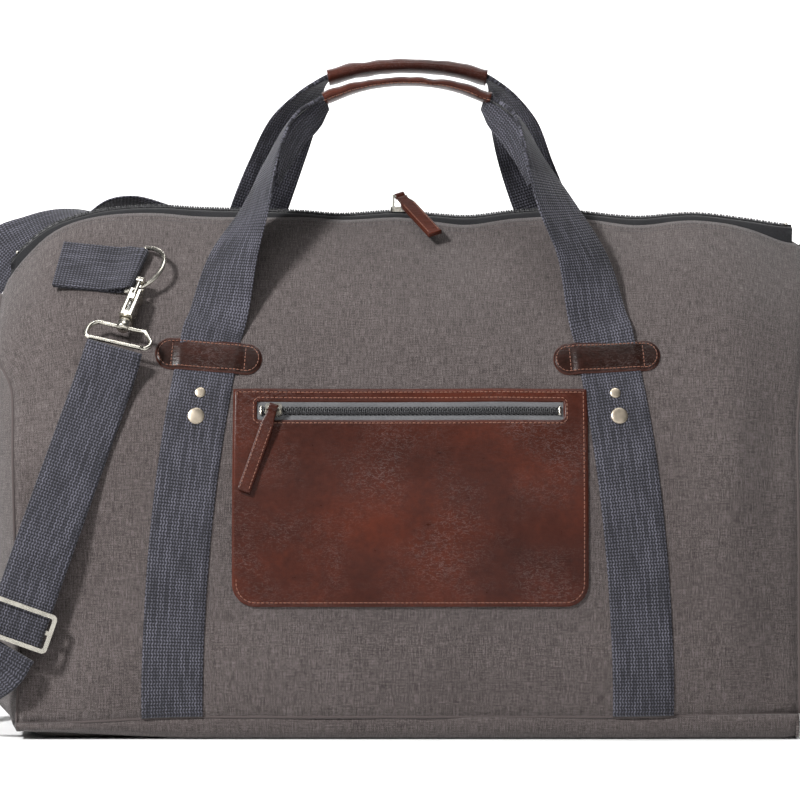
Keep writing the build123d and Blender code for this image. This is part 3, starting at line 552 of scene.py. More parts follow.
canvas_material = make_canvas("canvas", (0.030, 0.0245, 0.0235), (0.077, 0.063, 0.061), (0.146, 0.126, 0.122))
webbing_material = make_webbing(
    "webbing", (0.002, 0.002, 0.003), (0.0185, 0.0182, 0.025), (0.108, 0.106, 0.134),
)
leather_material = make_leather(
    "leather",
    (0.018, 0.0050, 0.0032), (0.044, 0.0108, 0.0062), (0.088, 0.0180, 0.0080), (0.10, 0.030, 0.020),
)
keeper_material = make_leather(
    "keeper_leather",
    (0.005, 0.0024, 0.0018), (0.014, 0.0054, 0.0038), (0.036, 0.010, 0.0064), (0.08, 0.026, 0.018),
)
nickel_material = make_metal("nickel", (0.62, 0.59, 0.52), 0.27)
rivet_material = make_metal("rivet_metal", (0.56, 0.48, 0.38), 0.38)
spring_material = make_metal("spring_steel", (0.50, 0.50, 0.50), 0.35)
tape_material = make_plain_weave("zip_tape", (0.006, 0.006, 0.007), (0.018, 0.018, 0.020), 0.0012)
pocket_tape_material = make_plain_weave("pocket_zip_tape", (0.085, 0.086, 0.09), (0.15, 0.15, 0.156), 0.0012)
coil_material = make_nylon("zip_coil", (0.006, 0.006, 0.007), (0.018, 0.018, 0.020))
lining_material = make_plain_weave("lining", (0.035, 0.034, 0.038), (0.060, 0.058, 0.064), 0.0016)
board_material = make_plain_weave("board", (0.030, 0.028, 0.026), (0.060, 0.056, 0.052), 0.0030)
thread_material = make_thread("thread", (0.110, 0.036, 0.019), (0.250, 0.095, 0.052))
canvas_thread_material = make_thread("canvas_thread", (0.045, 0.040, 0.040), (0.110, 0.098, 0.098))


# ---- the bag's own shape ----
# The zip line's rise and fall along the bag: (x, height over the straight line).
RIDGE_LINE = [
    (-253, -43), (-247, -33), (-240, -24), (-225, -9.5), (-206, -1), (-190, 2.5), (-168, 3.5), (-140, 2),
    (-73, 0), (-45, -2), (-8, 0), (22, -2.5), (42, -3.5), (72, 0), (103, 1.5), (118, -0.5), (155, -4),
    (191, -1.5), (221, -5.5), (241, -9), (253, -9),
]

# How far the left end's seam stands off the straight line: (height, x).
LEFT_SEAM = [
    (0, 0), (60, 1.5), (120, -1.0), (180, -3.0), (230, -5.0), (248, -8.5), (266, -15), (290, -20), (345, -21),
]
# How the lower left corner of the front rises at the floor and sinks at the seam: (height, lift).
CORNER_DIP = [(-5, 4.2), (0, 4.2), (15, -5.6), (40, -3.2), (85, 0), (400, 0)]


def run_at(height):
    """Distance up the face from the base seam to a height."""
    if height <= wall_top:
        return height - base_seam
    return wall_run + face_radius * asin(min(1.0, (height - wall_top) / face_radius))


def face_at(run):
    """Depth and height of the plain face at a run, with its outward direction."""
    if run <= wall_run:
        return half_depth, base_seam + run, 1.0, 0.0
    angle = (run - wall_run) / face_radius
    depth = half_depth - face_radius * (1 - cos(angle))
    return depth, wall_top + face_radius * sin(angle), cos(angle), sin(angle)


def lean(x, height):
    """How far the ends lean, more towards the top."""
    left = line_at(LEFT_SEAM, height) * ease((-x - 165) / 88)
    right = 13 * ease((x - 165) / 88) * ease((height - 190) / 130)
    return left + right


def fullness(x, run, side):
    """How far the filled canvas stands out from, or falls in behind, the plain face."""
    height = face_at(run)[1]
    to_end = half_length - abs(x)
    turn_in = -9.0 * (1 - ease(to_end / 46)) * (0.35 + 0.65 * ease(run / 60))
    seam = -2.6 * (1 - ease(to_end / 5.0)) - 1.9 * (1 - ease(run / 5.0))
    belly = 3.2 * bump(height, 46, 40) * ease(to_end / 60)
    panels = 2.4 * bump(abs(x), 208, 36) * bump(height, 190, 120)
    flat = bump(x, 0, 190) * bump(height, 165, 95)
    ripple = noise.noise(Vector((x * 0.011, run * 0.009, 3.7 * side))) * 3.4
    ripple += noise.noise(Vector((x * 0.027, run * 0.021, 9.1 * side))) * 1.3
    slack = -2.5 * bump(x, -60, 90) * bump(height, 300, 60) - 1.8 * bump(x, 60, 80) * bump(height, 310, 50)
    return turn_in + seam + belly + panels + slack + ripple * (1 - 0.9 * min(1.0, 1.6 * flat))


def settle(point):
    """Towards the lower left corner the front seam dips and the base comes off the floor."""
    share = ease((-point.x - 125) / 125) * ease((-point.y - 55) / 60)
    return point + Vector((0, 0, share * line_at(CORNER_DIP, point.z)))


def skin(x, run, side, proud=0.0):
    """A point of the filled bag's face. side is -1 on the front and 1 on the back."""
    depth, height, out, up = face_at(run)
    swell = fullness(x, run, side) + proud
    lift = line_at(RIDGE_LINE, x) * ease((run - 0.5 * face_run) / (0.5 * face_run))
    if side > 0:
        lift += 3.5 * bump(x, 225, 45) * bump(run, face_run - 20, 60)
    droop = -1.5 * ease((abs(x) - 120) / 130) * (1 - ease(run / 40))
    point = Vector((x + lean(x, height), side * (depth + out * swell), height + up * swell + lift - droop))
    return settle(point)


def ridge(x, across, up):
    """A point at the zip, measured across and up from the bottom of the coil."""
    return Vector((x + lean(x, edge_height), across, coil_low + up + line_at(RIDGE_LINE, x)))


def outward(x, run, side):
    """Direction out of the filled face."""
    step = 1.5
    across = skin(x + step, run, side) - skin(x - step, run, side)
    upward = skin(x, run + step, side) - skin(x, run - step, side)
    return (across.cross(upward) * -side).normalized()


# ---- canvas panels ----
FACES = (("front", -1), ("rear", 1))
ENDS = (("left", -1), ("right", 1))
seam_rows = [0.6, 1.4, 2.6]
fine_x = steps(-half_length, half_length, 4.4) + [s * (half_length - d) for s in (-1, 1) for d in seam_rows]
fine_x = sorted(set(fine_x))
fine_run = sorted(set(steps(0, face_run, 4.4) + seam_rows))
for panel_name, side in (("front", -1), ("back", 1)):
    layer(
        f"{panel_name}_canvas", fine_x, fine_run, lambda x, run, proud, side=side: skin(x, run, side, proud),
        0.0, -canvas, canvas_material, uv=lambda x, run, side=side: (x * -side, run),
        stands_for=(f"{panel_name}_panel",), slot="canvas",
    )


def end_place(side):
    """Points of an end panel: v climbs from the floor to the zip, u crosses from front to back."""
    reach, rise = (29.0, 32) if side < 0 else (9.0, 48)

    def place(u, v, proud):
        if v < 0:
            angle = pi / 2 * -v / base_seam
            depth = half_depth - base_corner * (1 - cos(angle))
            back = Vector((side * half_length, depth, base_seam * (1 - sin(angle)) + 0.8))
            front = settle(Vector((back.x, -back.y, back.z)))
        else:
            front = skin(side * half_length, v, -1, -0.5)
            back = skin(side * half_length, v, 1, -0.5)
        level = ease((v + base_seam) / rise) * (1 - 0.85 * ease((v - 190) / 150))
        full = 1 - abs(u) ** 2.6
        ripple = noise.noise(Vector((u * 1.3, v * 0.008, 5.0 * side))) * 2.5 * full
        swell = reach * full * level + ripple * level + proud
        point = front.lerp(back, (u + 1) / 2)
        return point + Vector((side * swell, 0, 0))
    return place


end_shares = sorted(set(steps(-1, 1, 0.05) + [-0.985, -0.965, 0.965, 0.985]))
end_rows = sorted(set(steps(-base_seam, 0, 2.5) + fine_run))
for end_name, side in ENDS:
    layer(
        f"{end_name}_end_canvas", end_shares, end_rows, end_place(side), 0.0, -canvas, canvas_material,
        uv=lambda u, v, side=side: (u * face_at(max(v, 0))[0] * side, v),
        stands_for=(f"{end_name}_end_panel",), slot="canvas",
    )


seam_strip = 3.0


def base_place(x, around, proud):
    """Points of the bottom panel: around runs from the front seam, under the bag, to the back seam."""
    side = -1 if around < 0 else 1
    corner = pi / 2 * base_corner
    flat = half_depth - base_corner
    from_seam = flat + corner + seam_strip - abs(around)
    lift = 1.6 * (1 - ease((half_length - abs(x)) / 8))
    droop = 1.5 * ease((abs(x) - 120) / 130)
    pull = 1.5 * (1 - ease((half_length - abs(x)) / 6))
    if from_seam <= seam_strip:
        groove = 1.9 * (1 - ease(from_seam / seam_strip))
        depth = half_depth - groove + proud - pull
        return settle(Vector((x, side * depth, base_seam - from_seam + droop)))
    turn = from_seam - seam_strip
    angle = min(pi / 2, turn / base_corner)
    depth = flat + (base_corner + proud) * cos(angle) - pull
    height = base_corner - (base_corner + proud) * sin(angle)
    if turn > corner:
        depth = flat - (turn - corner)
    return settle(Vector((x, side * depth, height + lift + droop * cos(angle))))


base_span = half_depth - base_corner + pi / 2 * base_corner + seam_strip
around_low = steps(-base_span, -base_span + 24, 1.5)
base_lines = around_low + steps(-base_span + 32, base_span - 32, 9) + [-a for a in reversed(around_low)]
layer(
    "bottom_canvas", fine_x, base_lines, base_place, 0.0, -canvas, canvas_material,
    stands_for=("bottom_panel",), slot="canvas",
)

for face_name, side in FACES:
    welt = [skin(x, 0, side, -0.6) + Vector((0, 0, -0.2)) for x in fine_x]
    tubes(f"{face_name}_base_welt", [welt], 1.0, canvas_material, sides=8, slot="canvas")
for end_name, side in ENDS:
    out = Vector((side * 0.6, 0, 0))
    runs = [[skin(side * half_length, run, face, -0.4) + out for run in fine_run] for face in (-1, 1)]
    tubes(f"{end_name}_end_welt", runs, 1.1, canvas_material, sides=8, slot="canvas")


# ---- zip along the top ----
zip_x = steps(-zip_half, zip_half, 4.0)


def tape_place(side):
    """A tape's rows: three under the face's edge as (run, depth), then three to the coil as (across, up)."""
    sewn = ((-14.0, -2.6), (-7.0, -2.5), (-1.5, -2.3))
    free = ((9.2, -1.3), (6.2, -0.1), (3.4, 0.5))

    def place(x, row, proud):
        if row < len(sewn):
            run, under = sewn[row]
            return skin(x, face_run + run, side, under + proud)
        across, up = free[row - len(sewn)]
        return ridge(x, side * across, up + proud)
    return place


for face_name, side in FACES:
    layer(
        f"{face_name}_zip_cloth", zip_x, list(range(6)), tape_place(side), 0.0, -0.8, tape_material,
        stands_for=(f"{face_name}_zip_tape",), slot="zip_tape",
    )


def coil_runs(place, low, high, pitch, half_width, height):
    """One bent filament for each tooth, across the join."""
    shape = [(-1.0, 0.0), (-0.86, 0.62), (-0.45, 0.95), (0.0, 0.8), (0.45, 0.95), (0.86, 0.62), (1.0, 0.0)]
    runs = []
    for index, x in enumerate(steps(low, high, pitch)):
        slant = 0.3 * pitch * (1 if index % 2 else -1)
        runs.append([place(x + slant * a, a * half_width, b * height) for a, b in shape])
    return runs


tubes(
    "main_coil_teeth", coil_runs(ridge, -zip_half + 5, zip_half - 5, 1.7, 3.0, 2.9), 0.55, coil_material,
    sides=6, stands_for=("main_zip_coil",), slot="zip_coil",
)
tubes(
    "main_coil_cords", [[ridge(x, a, 1.1) for x in zip_x] for a in (-1.7, 1.7)], 1.0, coil_material,
    sides=8, slot="zip_coil",
)
tubes(
    "main_zip_stop_wires",
    [[ridge(e * (zip_half - 3.5), a, 2.2) for a in (-4.2, -2.8, 0, 2.8, 4.2)] for e in (-1, 1)],
    1.1, nickel_material, sides=10, stands_for=("main_zip_end_stops",), slot="nickel",
)

# Two rows of stitching hold each edge of the opening.
for face_name, side in FACES:
    for row, drop in (("upper", 3.6), ("lower", 7.4)):
        path = [(skin(x, face_run - drop, side), outward(x, face_run - drop, side)) for x in fine_x[5:-5]]
        seam = stitches(f"{face_name}_opening_{row}_stitches", path, radius=0.28)
        seam.data.materials[0] = canvas_thread_material

# ---- lining ----
lining_runs = steps(2, face_run - 4, 9)
lining_ring = [(-1, run) for run in lining_runs] + [(1, run) for run in reversed(lining_runs)]
lining_x = steps(-half_length + 5, half_length - 5, 9)


def lining_place(index, x, proud):
    side, run = lining_ring[index % len(lining_ring)]
    return skin(x, run, side, proud - 3.6)


layer(
    "lining_cloth", list(range(len(lining_ring) + 1)), lining_x, lining_place, 0.0, -0.6, lining_material,
    stands_for=("lining",), slot="lining",
)


# ---- webbing on the faces ----
def webbing_x(height):
    """Middle of the webbing, which leans towards the handles."""
    return webbing_foot_x - webbing_lean_radius * (1 - cos(asin((height - base_seam) / webbing_lean_radius)))


def on_webbing(side_x, side):
    """Points of a strap sewn up a face: u across it and run up the face."""
    def place(u, run, proud):
        height = face_at(run)[1]
        angle = asin((height - base_seam) / webbing_lean_radius)
        x = side_x * (webbing_x(height) + u * cos(angle))
        return skin(x, run + u * sin(angle) * ease(run / 20), side, proud)
    return place


def soft_edge(full, half, fade, least):
    """Thickness of a layer that thins at both sides."""
    return lambda u, v: least + (full - least) * ease((half - abs(u)) / fade)


webbing_half = webbing_width / 2
webbing_us = [s * (webbing_half - d) for s in (-1, 1) for d in (0, 0.45, 1.35)] + steps(-16, 16, 4)
webbing_us.sort()
keeper_run = run_at(keeper_height)
webbing_runs = steps(0.0, keeper_run, 3.5)
for face_name, side in FACES:
    for side_name, side_x in ENDS:
        layer(
            f"{face_name}_{side_name}_strap", webbing_us, webbing_runs, on_webbing(side_x, side),
            soft_edge(webbing + 0.15, webbing_half, 1.4, 0.8), -0.5, webbing_material,
            stands_for=(f"{face_name}_{side_name}_webbing",), slot="webbing",
        )


# ---- leather keepers ----

def keeper_half_width(u):
    """Half the keeper's width at a place along it: its ends are round."""
    past = abs(u) - (keeper_half - keeper_end)
    return keeper_end if past <= 0 else sqrt(max(0.02, keeper_end**2 - past**2))


def on_keeper(side_x, side):
    """Points of a keeper: u along it in millimetres and v across it from -1 to 1."""
    def place(u, v, proud):
        across = v * keeper_half_width(u)
        x = side_x * keeper_x + u * cos(keeper_tilt) - side_x * across * sin(keeper_tilt)
        height = keeper_height + side_x * u * sin(keeper_tilt) + across * cos(keeper_tilt)
        return skin(x, run_at(height), side, proud)
    return place


def from_keeper_rim(u, v):
    return min((1 - abs(v)) * keeper_half_width(u), keeper_half - abs(u))


def keeper_top(u, v):
    """The keeper's outer side, raised where it crosses the webbing."""
    over = ease((24.0 - abs(u)) / 6.0)
    crown = 0.5 * (1 - v * v)
    return 0.7 + 1.5 * over + (0.9 + crown) * ease(from_keeper_rim(u, v) / 1.6)


def keeper_low(u, v):
    return -0.4 + 1.5 * ease((22.0 - abs(u)) / 3.2)


keeper_us = sorted(steps(-33, 33, 1.6) + [s * d for s in (-1, 1) for d in (33.8, 34.4, 34.8, 35.0)])
keeper_vs = sorted([0] + [s * v for s in (-1, 1) for v in (0.2, 0.45, 0.7, 0.86, 0.92, 0.97, 1)])


def keeper_path(side_x, side):
    """The line of stitches round the keeper's rim."""
    inset = keeper_end - 2.1
    straight = keeper_half - keeper_end
    outline = [(u, -inset) for u in steps(-straight, straight, 3)]
    outline += [(straight + inset * sin(a), -inset * cos(a)) for a in steps(0.2, pi - 0.2, 0.25)]
    outline += [(-u, inset) for u in steps(-straight, straight, 3)]
    outline += [(-straight - inset * sin(a), inset * cos(a)) for a in steps(0.2, pi - 0.2, 0.25)]
    place = on_keeper(side_x, side)
    path = []
    for u, across in outline + outline[:1]:
        v = across / keeper_half_width(u)
        point = place(u, v, keeper_top(u, v) + 0.02)
        path.append((point, outward(point.x, run_at(point.z), side)))
    return path


for face_name, side in FACES:
    for side_name, side_x in ENDS:
        keeper_name = f"{face_name}_{side_name}_keeper"
        place = on_keeper(side_x, side)
        layer(
            f"{face_name}_{side_name}_leather_keeper", keeper_us, keeper_vs, place, keeper_top, keeper_low,
            keeper_material, rim=lambda u, v: 1 - ease(from_keeper_rim(u, v) / 1.5),
            uv=lambda u, v: (u, v * keeper_half_width(u)), stands_for=(keeper_name,), slot="leather",
        )
        stitches(f"{keeper_name}_stitches", keeper_path(side_x, side), pitch=2.6, length=1.9, radius=0.3)
        for index, bar_u in enumerate((-24.0, 24.0)):
            bar = [place(bar_u, v, keeper_top(bar_u, v) + 0.02) for v in steps(-0.72, 0.72, 0.24)]
            path = [(point, outward(point.x, run_at(point.z), side)) for point in bar]
            stitches(f"{keeper_name}_bar_{index + 1}", path, pitch=2.6, length=1.9, radius=0.3)


# ---- rivets ----
def rivet_frames(height):
    """Where the four rivets of one height stand on the webbing: origin and three directions."""
    run = run_at(height)
    frames = []
    for side in (-1, 1):
        for side_x in (-1, 1):
            x = side_x * webbing_x(height)
            out = outward(x, run, side)
            across = (Vector((1, 0, 0)) - out * out.x).normalized()
            frames.append((skin(x, run, side, webbing), across, out.cross(across), out))
    return frames


for size_name, height, radius, dome in (("small", 223.4, 3.5, 1.25), ("large", 208.4, 5.5, 1.3)):
    outline = [(radius * 0.94, -0.3), (radius, 0.1), (radius, 0.55), (radius * 0.93, 0.9)]
    turns = steps(0.15, pi / 2 - 0.06, 0.2)
    outline += [(radius * 0.9 * cos(a), 0.85 + (dome - 0.85) * sin(a)) for a in turns]
    lathe(f"{size_name}_rivet_caps", rivet_frames(height), outline, rivet_material,
          stands_for=(f"{size_name}_rivets",), slot="rivet_metal")


# ---- pocket ----
pocket_half = 113.5
pocket_low = 86.0
pocket_high = 226.0
pocket_corner = 15.0
window_half = 98.0
window_low = 206.0
window_high = 217.5
window_middle = (window_low + window_high) / 2
window_round = 3.2
pocket_proud = 2.5


def pocket_half_width(height):
    """Half the pocket's width at a height: its lower corners are round."""
    under = pocket_corner - (height - pocket_low)
    if under <= 0:
        return pocket_half
    return pocket_half - pocket_corner + sqrt(max(0.0, pocket_corner**2 - under**2))


def pocket_x(x):
    """The pocket is pulled a little wide to the right."""
    return 1.7 + 1.014 * x


def on_pocket(u, height, proud):
    """Points of the leather: u runs from side to side as at full width, and follows the round corners."""
    return skin(pocket_x(u * pocket_half_width(height) / pocket_half), run_at(height), -1, proud)


def from_window(u, height):
    """Distance outside the zip window, which has small round corners."""
    dx = max(0.0, abs(u) - (window_half - window_round))
    dz = max(0.0, abs(height - window_middle) - (window_high - window_middle - window_round))
    return sqrt(dx * dx + dz * dz) - window_round


def from_pocket_rim(u, height):
    """Distance inside the leather's outline."""
    x = u * pocket_half_width(height) / pocket_half
    rim = min(pocket_half_width(height) - abs(x), pocket_high - height, height - pocket_low)
    dx = abs(x) - (pocket_half - pocket_corner)
    dz = (pocket_low + pocket_corner) - height
    if dx > 0 and dz > 0:
        rim = min(rim, pocket_corner - sqrt(dx * dx + dz * dz))
    return max(0.0, rim)


def pocket_top(u, height):
    """The leather's outer side: a little puffed, rolled at the edges and thin at the cut rim."""
    rim = from_pocket_rim(u, height)
    window = max(0.0, from_window(u, height))
    puff = 1.3 * bump(u, 20, 95) * bump(height, 138, 52)
    puff += 0.35 * bump(height, 221.5, 4) * bump(abs(u), 0, 112)
    roll = 0.25 * bump(min(rim, window), 1.2, 1.2)
    fold = 0.35 * noise.noise(Vector((u * 0.03, height * 0.04, 2.0)))
    edge = min(ease(rim / 1.4), ease(window / 1.2))
    return 1.1 + (pocket_proud - 1.1 + puff + fold + roll) * edge


# The grid is finer at the rim, at the round corners and round the window.
pocket_us = [pocket_half - d for d in (0, 0.4, 1.0, 1.7)]
pocket_us += [window_half + d for d in (-2.5, -1, 0, 0.5, 1.2, 2.2)]
pocket_us = sorted(steps(-110.5, 110.5, 3.4) + [s * u for s in (-1, 1) for u in pocket_us])
pocket_vs = steps(102, 203.5, 3.4) + [204.6, 205.4, 206.0, 207.2, 209, window_middle, 214.5, 216.3]
pocket_vs += [window_high + d for d in (0, 0.6, 1.4, 2.5, 4, 5.5)]
pocket_vs += [pocket_high - d for d in (1.6, 0.9, 0.4, 0)]
pocket_vs += [pocket_low + d for d in (0, 0.15, 0.5, 1, 1.8, 2.8, 4, 5.5, 7, 9, 11, 13.5)]
pocket_vs.sort()
layer(
    "pocket_leather", pocket_us, pocket_vs, on_pocket, pocket_top, 0.3, leather_material,
    keep=lambda u, height: not (abs(u) < window_half and window_low < height < window_high),
    rim=lambda u, height: 1 - ease(min(from_pocket_rim(u, height), max(0.0, from_window(u, height))) / 1.6),
    stands_for=("pocket_face",), slot="leather",
)


def pocket_tape_top(x, height):
    """The pocket's zip tape dips under the coil, between two woven cords."""
    off = abs(height - window_middle)
    return 1.0 - 0.35 * bump(off, 0, 4.5) + 0.25 * bump(off, 4.4, 1.2)


layer(
    "pocket_zip_cloth", steps(-104, 104, 4), steps(200, 221, 1.5),
    lambda x, height, proud: skin(pocket_x(x), run_at(height), -1, proud), pocket_tape_top, 0.2,
    pocket_tape_material, stands_for=("pocket_zip_tape",), slot="pocket_zip_tape",
)
layer(
    "pocket_lining", steps(-104, 104, 8), steps(92, 200, 8),
    lambda x, height, proud: skin(x, run_at(height), -1, proud), 0.25, 0.05, lining_material,
    stands_for=("pocket_bag",), slot="lining",
)


def on_pocket_zip(x, across, up):
    return skin(pocket_x(x), run_at(window_middle) + across, -1, 1.1 + up)


tubes(
    "pocket_coil_teeth", coil_runs(on_pocket_zip, -94, 94, 1.35, 2.5, 1.7), 0.42, coil_material, sides=6,
    stands_for=("pocket_zip_coil",), slot="zip_coil",
)
tubes(
    "pocket_coil_cords", [[on_pocket_zip(x, a, 0.55) for x in steps(-95, 95, 5)] for a in (-1.4, 1.4)], 0.7,
    coil_material, sides=8, slot="zip_coil",
)
tubes(
    "pocket_zip_stop_wires",
    [[on_pocket_zip(e * 95.6, a, 1.2) for a in (-3.0, -1.5, 0, 1.5, 3.0)] for e in (-1, 1)],
    0.9, nickel_material, sides=10, stands_for=("pocket_zip_stops",), slot="nickel",
)


def pocket_path(outline):
    """A path for stitches on the leather, through (x, height) places of its flat outline."""
    path = []
    for x, height in outline:
        run = run_at(height)
        u = x * pocket_half / pocket_half_width(height)
        x = pocket_x(x)
        path.append((skin(x, run, -1, pocket_top(u, height) + 0.05), outward(x, run, -1)))
    return path


stitch_in = 2.7
corner_in = pocket_corner - stitch_in
corner_x = pocket_half - pocket_corner
corner_z = pocket_low + pocket_corner
outer_half = pocket_half - stitch_in
outer_high = pocket_high - stitch_in
corner_turns = steps(0.1, pi / 2 - 0.1, 0.14)
rim_outline = [(-outer_half, outer_high), (-outer_half, corner_z)]
rim_outline += [(-corner_x - corner_in * cos(a), corner_z - corner_in * sin(a)) for a in corner_turns]
rim_outline += [(x, pocket_low + stitch_in) for x in steps(-corner_x, corner_x, 4)]
rim_outline += [(corner_x + corner_in * sin(a), corner_z - corner_in * cos(a)) for a in corner_turns]
rim_outline += [(outer_half, z) for z in steps(corner_z, outer_high, 4)]
rim_outline += [(-x, outer_high) for x in steps(-outer_half, outer_half, 4)]
stitches("pocket_rim_stitches", pocket_path(rim_outline), pitch=2.9, length=2.1)
stitch_out = 2.3
window_outline = [(x, window_high + stitch_out) for x in steps(-window_half, window_half, 4)]
window_outline += [(window_half + stitch_out, z) for z in (window_high, window_middle, window_low)]
window_outline += [(-x, window_low - stitch_out) for x in steps(-window_half, window_half, 4)]
window_outline += [(-window_half - stitch_out, z) for z in (window_low, window_middle, window_high)]
window_outline += window_outline[:1]
stitches("pocket_window_stitches", pocket_path(window_outline), pitch=2.9, length=2.1)


# ---- leather zip pulls ----
def leather_pull(name, body, node, pivot, face, width, length, thickness, swing, eye):
    """A folded strip of leather through the bail: a thin loop, a neck and a flat tongue."""
    across = Vector((1, 0, 0))
    up = face.cross(across)
    turn = radians(swing)
    along = up * -cos(turn) + across * sin(turn)
    side = face.cross(along) * -1
    rod = 1.6
    path = []
    for share in steps(0, 1, 0.125):
        angle = pi / 2 + pi * (1 - share)
        spot = pivot + along * (rod * cos(angle) * 1.2) + face * (rod * sin(angle) * -1)
        path.append((spot, eye))
    widths = ((3.0, eye), (7.0, eye + 0.6), (10.0, width * 0.94), (13.0, width), (length + 7.0, width))
    widths += ((length + 9.0, width),)
    quarter = face * (thickness / 4)
    top_side = [(pivot + along * d + quarter, w) for d, w in widths]
    low_side = [(pivot + along * d - quarter, w) for d, w in reversed(widths)]
    stations = [(*p, *side, w, thickness / 2) for p, w in low_side + path + top_side]
    ribbon(name, stations, leather_material, pitch=1.2, body=body, stands_for=(node,), slot="leather")
    for index, edge in enumerate((-1, 1)):
        offset = side * (edge * (width / 2 - 1.3)) + face * (thickness / 2 + 0.02)
        row = [(pivot + along * d + offset, face) for d in steps(12.5, length + 7.2, 3)]
        stitches(f"{name}_stitches_{index + 1}", row, pitch=2.5, length=1.8, radius=0.28, body=body)


main_slope = radians(38)
leather_pull(
    "main_pull_leather", "main_pull", "main_zip_pull", Vector((-5.0, 0, 357.7)),
    Vector((0, -sin(main_slope), cos(main_slope))), 10.0, 41.0, 2.8, 28.0, 6.4,
)
pocket_slope = radians(10)
leather_pull(
    "pocket_pull_leather", "pocket_pull", "pocket_zip_pull", Vector((-87.0, -117.323, 214.624)),
    Vector((0, -cos(pocket_slope), sin(pocket_slope))), 8.5, 49.0, 2.4, -19.0, 6.0,
)

# ---- carrying handles ----
# Each half of a handle, as seen from the front: (x, y, z, width, twist in degrees).
handle_foot = (124.65, -80.95, 273.5, 39)
front_grip = [(56, -20, 422, 20, 90), (34, -20, 429.5, 20, 90), (12, -20, 433, 20, 90)]
rear_grip = [(54, -15, 439, 20, 88), (34, -15, 444, 20, 90), (12, -15, 446.5, 20, 90)]
front_left = [
    (*handle_foot, 4), (115.5, -66, 313, 39, 30), (102, -53, 346, 38, 58), (90, -39, 382, 33, 76),
    (76, -27, 409, 26, 86), *front_grip,
]
front_right = [
    (*handle_foot, 4), (116, -66, 313, 39, 28), (100.5, -53, 346, 38, 42), (86, -39, 380, 34, 66),
    (74, -27, 408, 26, 84), *front_grip,
]
rear_left = [
    (*handle_foot, 2), (117, -73, 304, 39, 3), (104.5, -53, 345, 39, 5), (90, -40, 382, 38, 14),
    (78, -28, 409, 37, 30), (66, -19, 428, 29, 58), *rear_grip,
]
rear_right = [
    (*handle_foot, 2), (114, -73, 304, 39, 3), (96, -53, 345, 39, 5), (82, -40, 380, 38, 14),
    (73, -28, 408, 37, 30), (64, -19, 428, 29, 58), *rear_grip,
]


def turned(vector, back):
    """The vector as it is, or turned half a turn about the upright axis for the back of the bag."""
    return Vector((-vector[0], -vector[1], vector[2])) if back else Vector(vector)


def handle_stations(first, last, back, thickness):
    """The whole handle, root to root, folding thicker where it narrows."""
    stations = []
    for half, side_x in ((first, -1), (last[::-1], 1)):
        for x, y, z, width, twist in half:
            across = (-side_x * cos(radians(twist)), -sin(radians(twist)), 0)
            fold = thickness if width > 37 else thickness * (1 + (38 - width) / 18)
            stations.append((*turned((side_x * x, y, z), back), *turned(across, back), width, min(fold, 3.4)))
    side = 1 if back else -1
    feet = []
    for side_x in (side, -side):
        foot = []
        for height in (keeper_height - 4, keeper_height + 7, handle_root - 9):
            angle = asin((height - base_seam) / webbing_lean_radius)
            across = Vector((cos(angle), 0, side_x * sin(angle))) * -side_x
            proud = 0.9 + 1.6 * ease((height - 245) / 20)
            spot = skin(side_x * webbing_x(height), run_at(height), side, proud)
            foot.append((*spot, *across, webbing_width, thickness))
        feet.append(foot)
    return feet[0] + stations + feet[1][::-1]


def grip_sleeve(name, grip, back, middle, end):
    """Leather sewn round the folded webbing, thicker to its ends, with stitches along its outer side."""
    line = [(-x, y, z) for x, y, z, _, _ in grip] + [(x, y, z) for x, y, z, _, _ in reversed(grip)]
    rows = curve_through(line, 4.0)
    stations = []
    for index, (x, y, z) in enumerate(rows):
        thick = middle + (end - middle) * ease(abs(2 * index / (len(rows) - 1) - 1) ** 1.5)
        crease = noise.noise(Vector((x * 0.09, 4.0, 7.0 * back)))
        spot = turned((x, y, z + 0.9 * crease), back)
        stations.append((*spot, *turned((0, -1, 0.12 * crease), back), 25.0, thick + 1.2 * crease))
    ribbon(
        f"{name}_leather", stations, leather_material, section=SLEEVE_SECTION, pitch=2.0, body=name,
        stands_for=(f"{name}_grip",), slot="leather",
    )
    outer = turned((0, -1, 0), back)
    down = Vector((0, 0, -1))
    facing = (outer + down * 0.4).normalized()
    path = [(Vector(row[:3]) + outer * 11.4 + down * (row[7] * 0.24), facing) for row in stations]
    stitches(f"{name}_leather_stitches", path, pitch=2.9, length=2.1, body=name)


for handle_name, first, last, grip, back, middle, end in (
    ("front_handle", front_left, front_right, front_grip, False, 6.0, 8.6),
    ("rear_handle", rear_right, rear_left, rear_grip, True, 9.8, 11.2),
):
    strap = ribbon(
        f"{handle_name}_strap", handle_stations(first, last, back, webbing), webbing_material, pitch=2.5,
        start_v=keeper_run, body=None, stands_for=(f"{handle_name}_webbing",), slot="webbing",
    )
    # Points just below and just above the keeper, in metres, which nothing uses.
    below = turned((0, -0.0890, 0.262), back)
    above = turned((0, -0.0780, 0.284), back)
    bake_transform(strap)
    grip_sleeve(handle_name, grip, back, middle, end)

# The front straps' inner halves fold in under the grip.
fold_line = [
    (86.5, -58, 362, 0.60, 0.80, 0.0, 4, 1.2), (80.5, -49, 381, 0.60, 0.78, -0.10, 14, 1.3),
    (73.5, -39, 396, 0.70, 0.65, -0.25, 18, 1.4), (62, -28.5, 409, 0.66, 0.60, -0.40, 16, 1.5),
    (54, -22, 418, 0.45, 0.85, -0.3, 10, 1.8),
]
for (side_name, side_x), narrow in zip(ENDS, (1.0, 0.94)):
    rows = [(side_x * narrow * x, y, z, -side_x * across, *rest) for x, y, z, across, *rest in fold_line]
    ribbon(
        f"front_{side_name}_inner_fold", rows, webbing_material, pitch=2.0,
        body="front_handle", slot="webbing",
    )


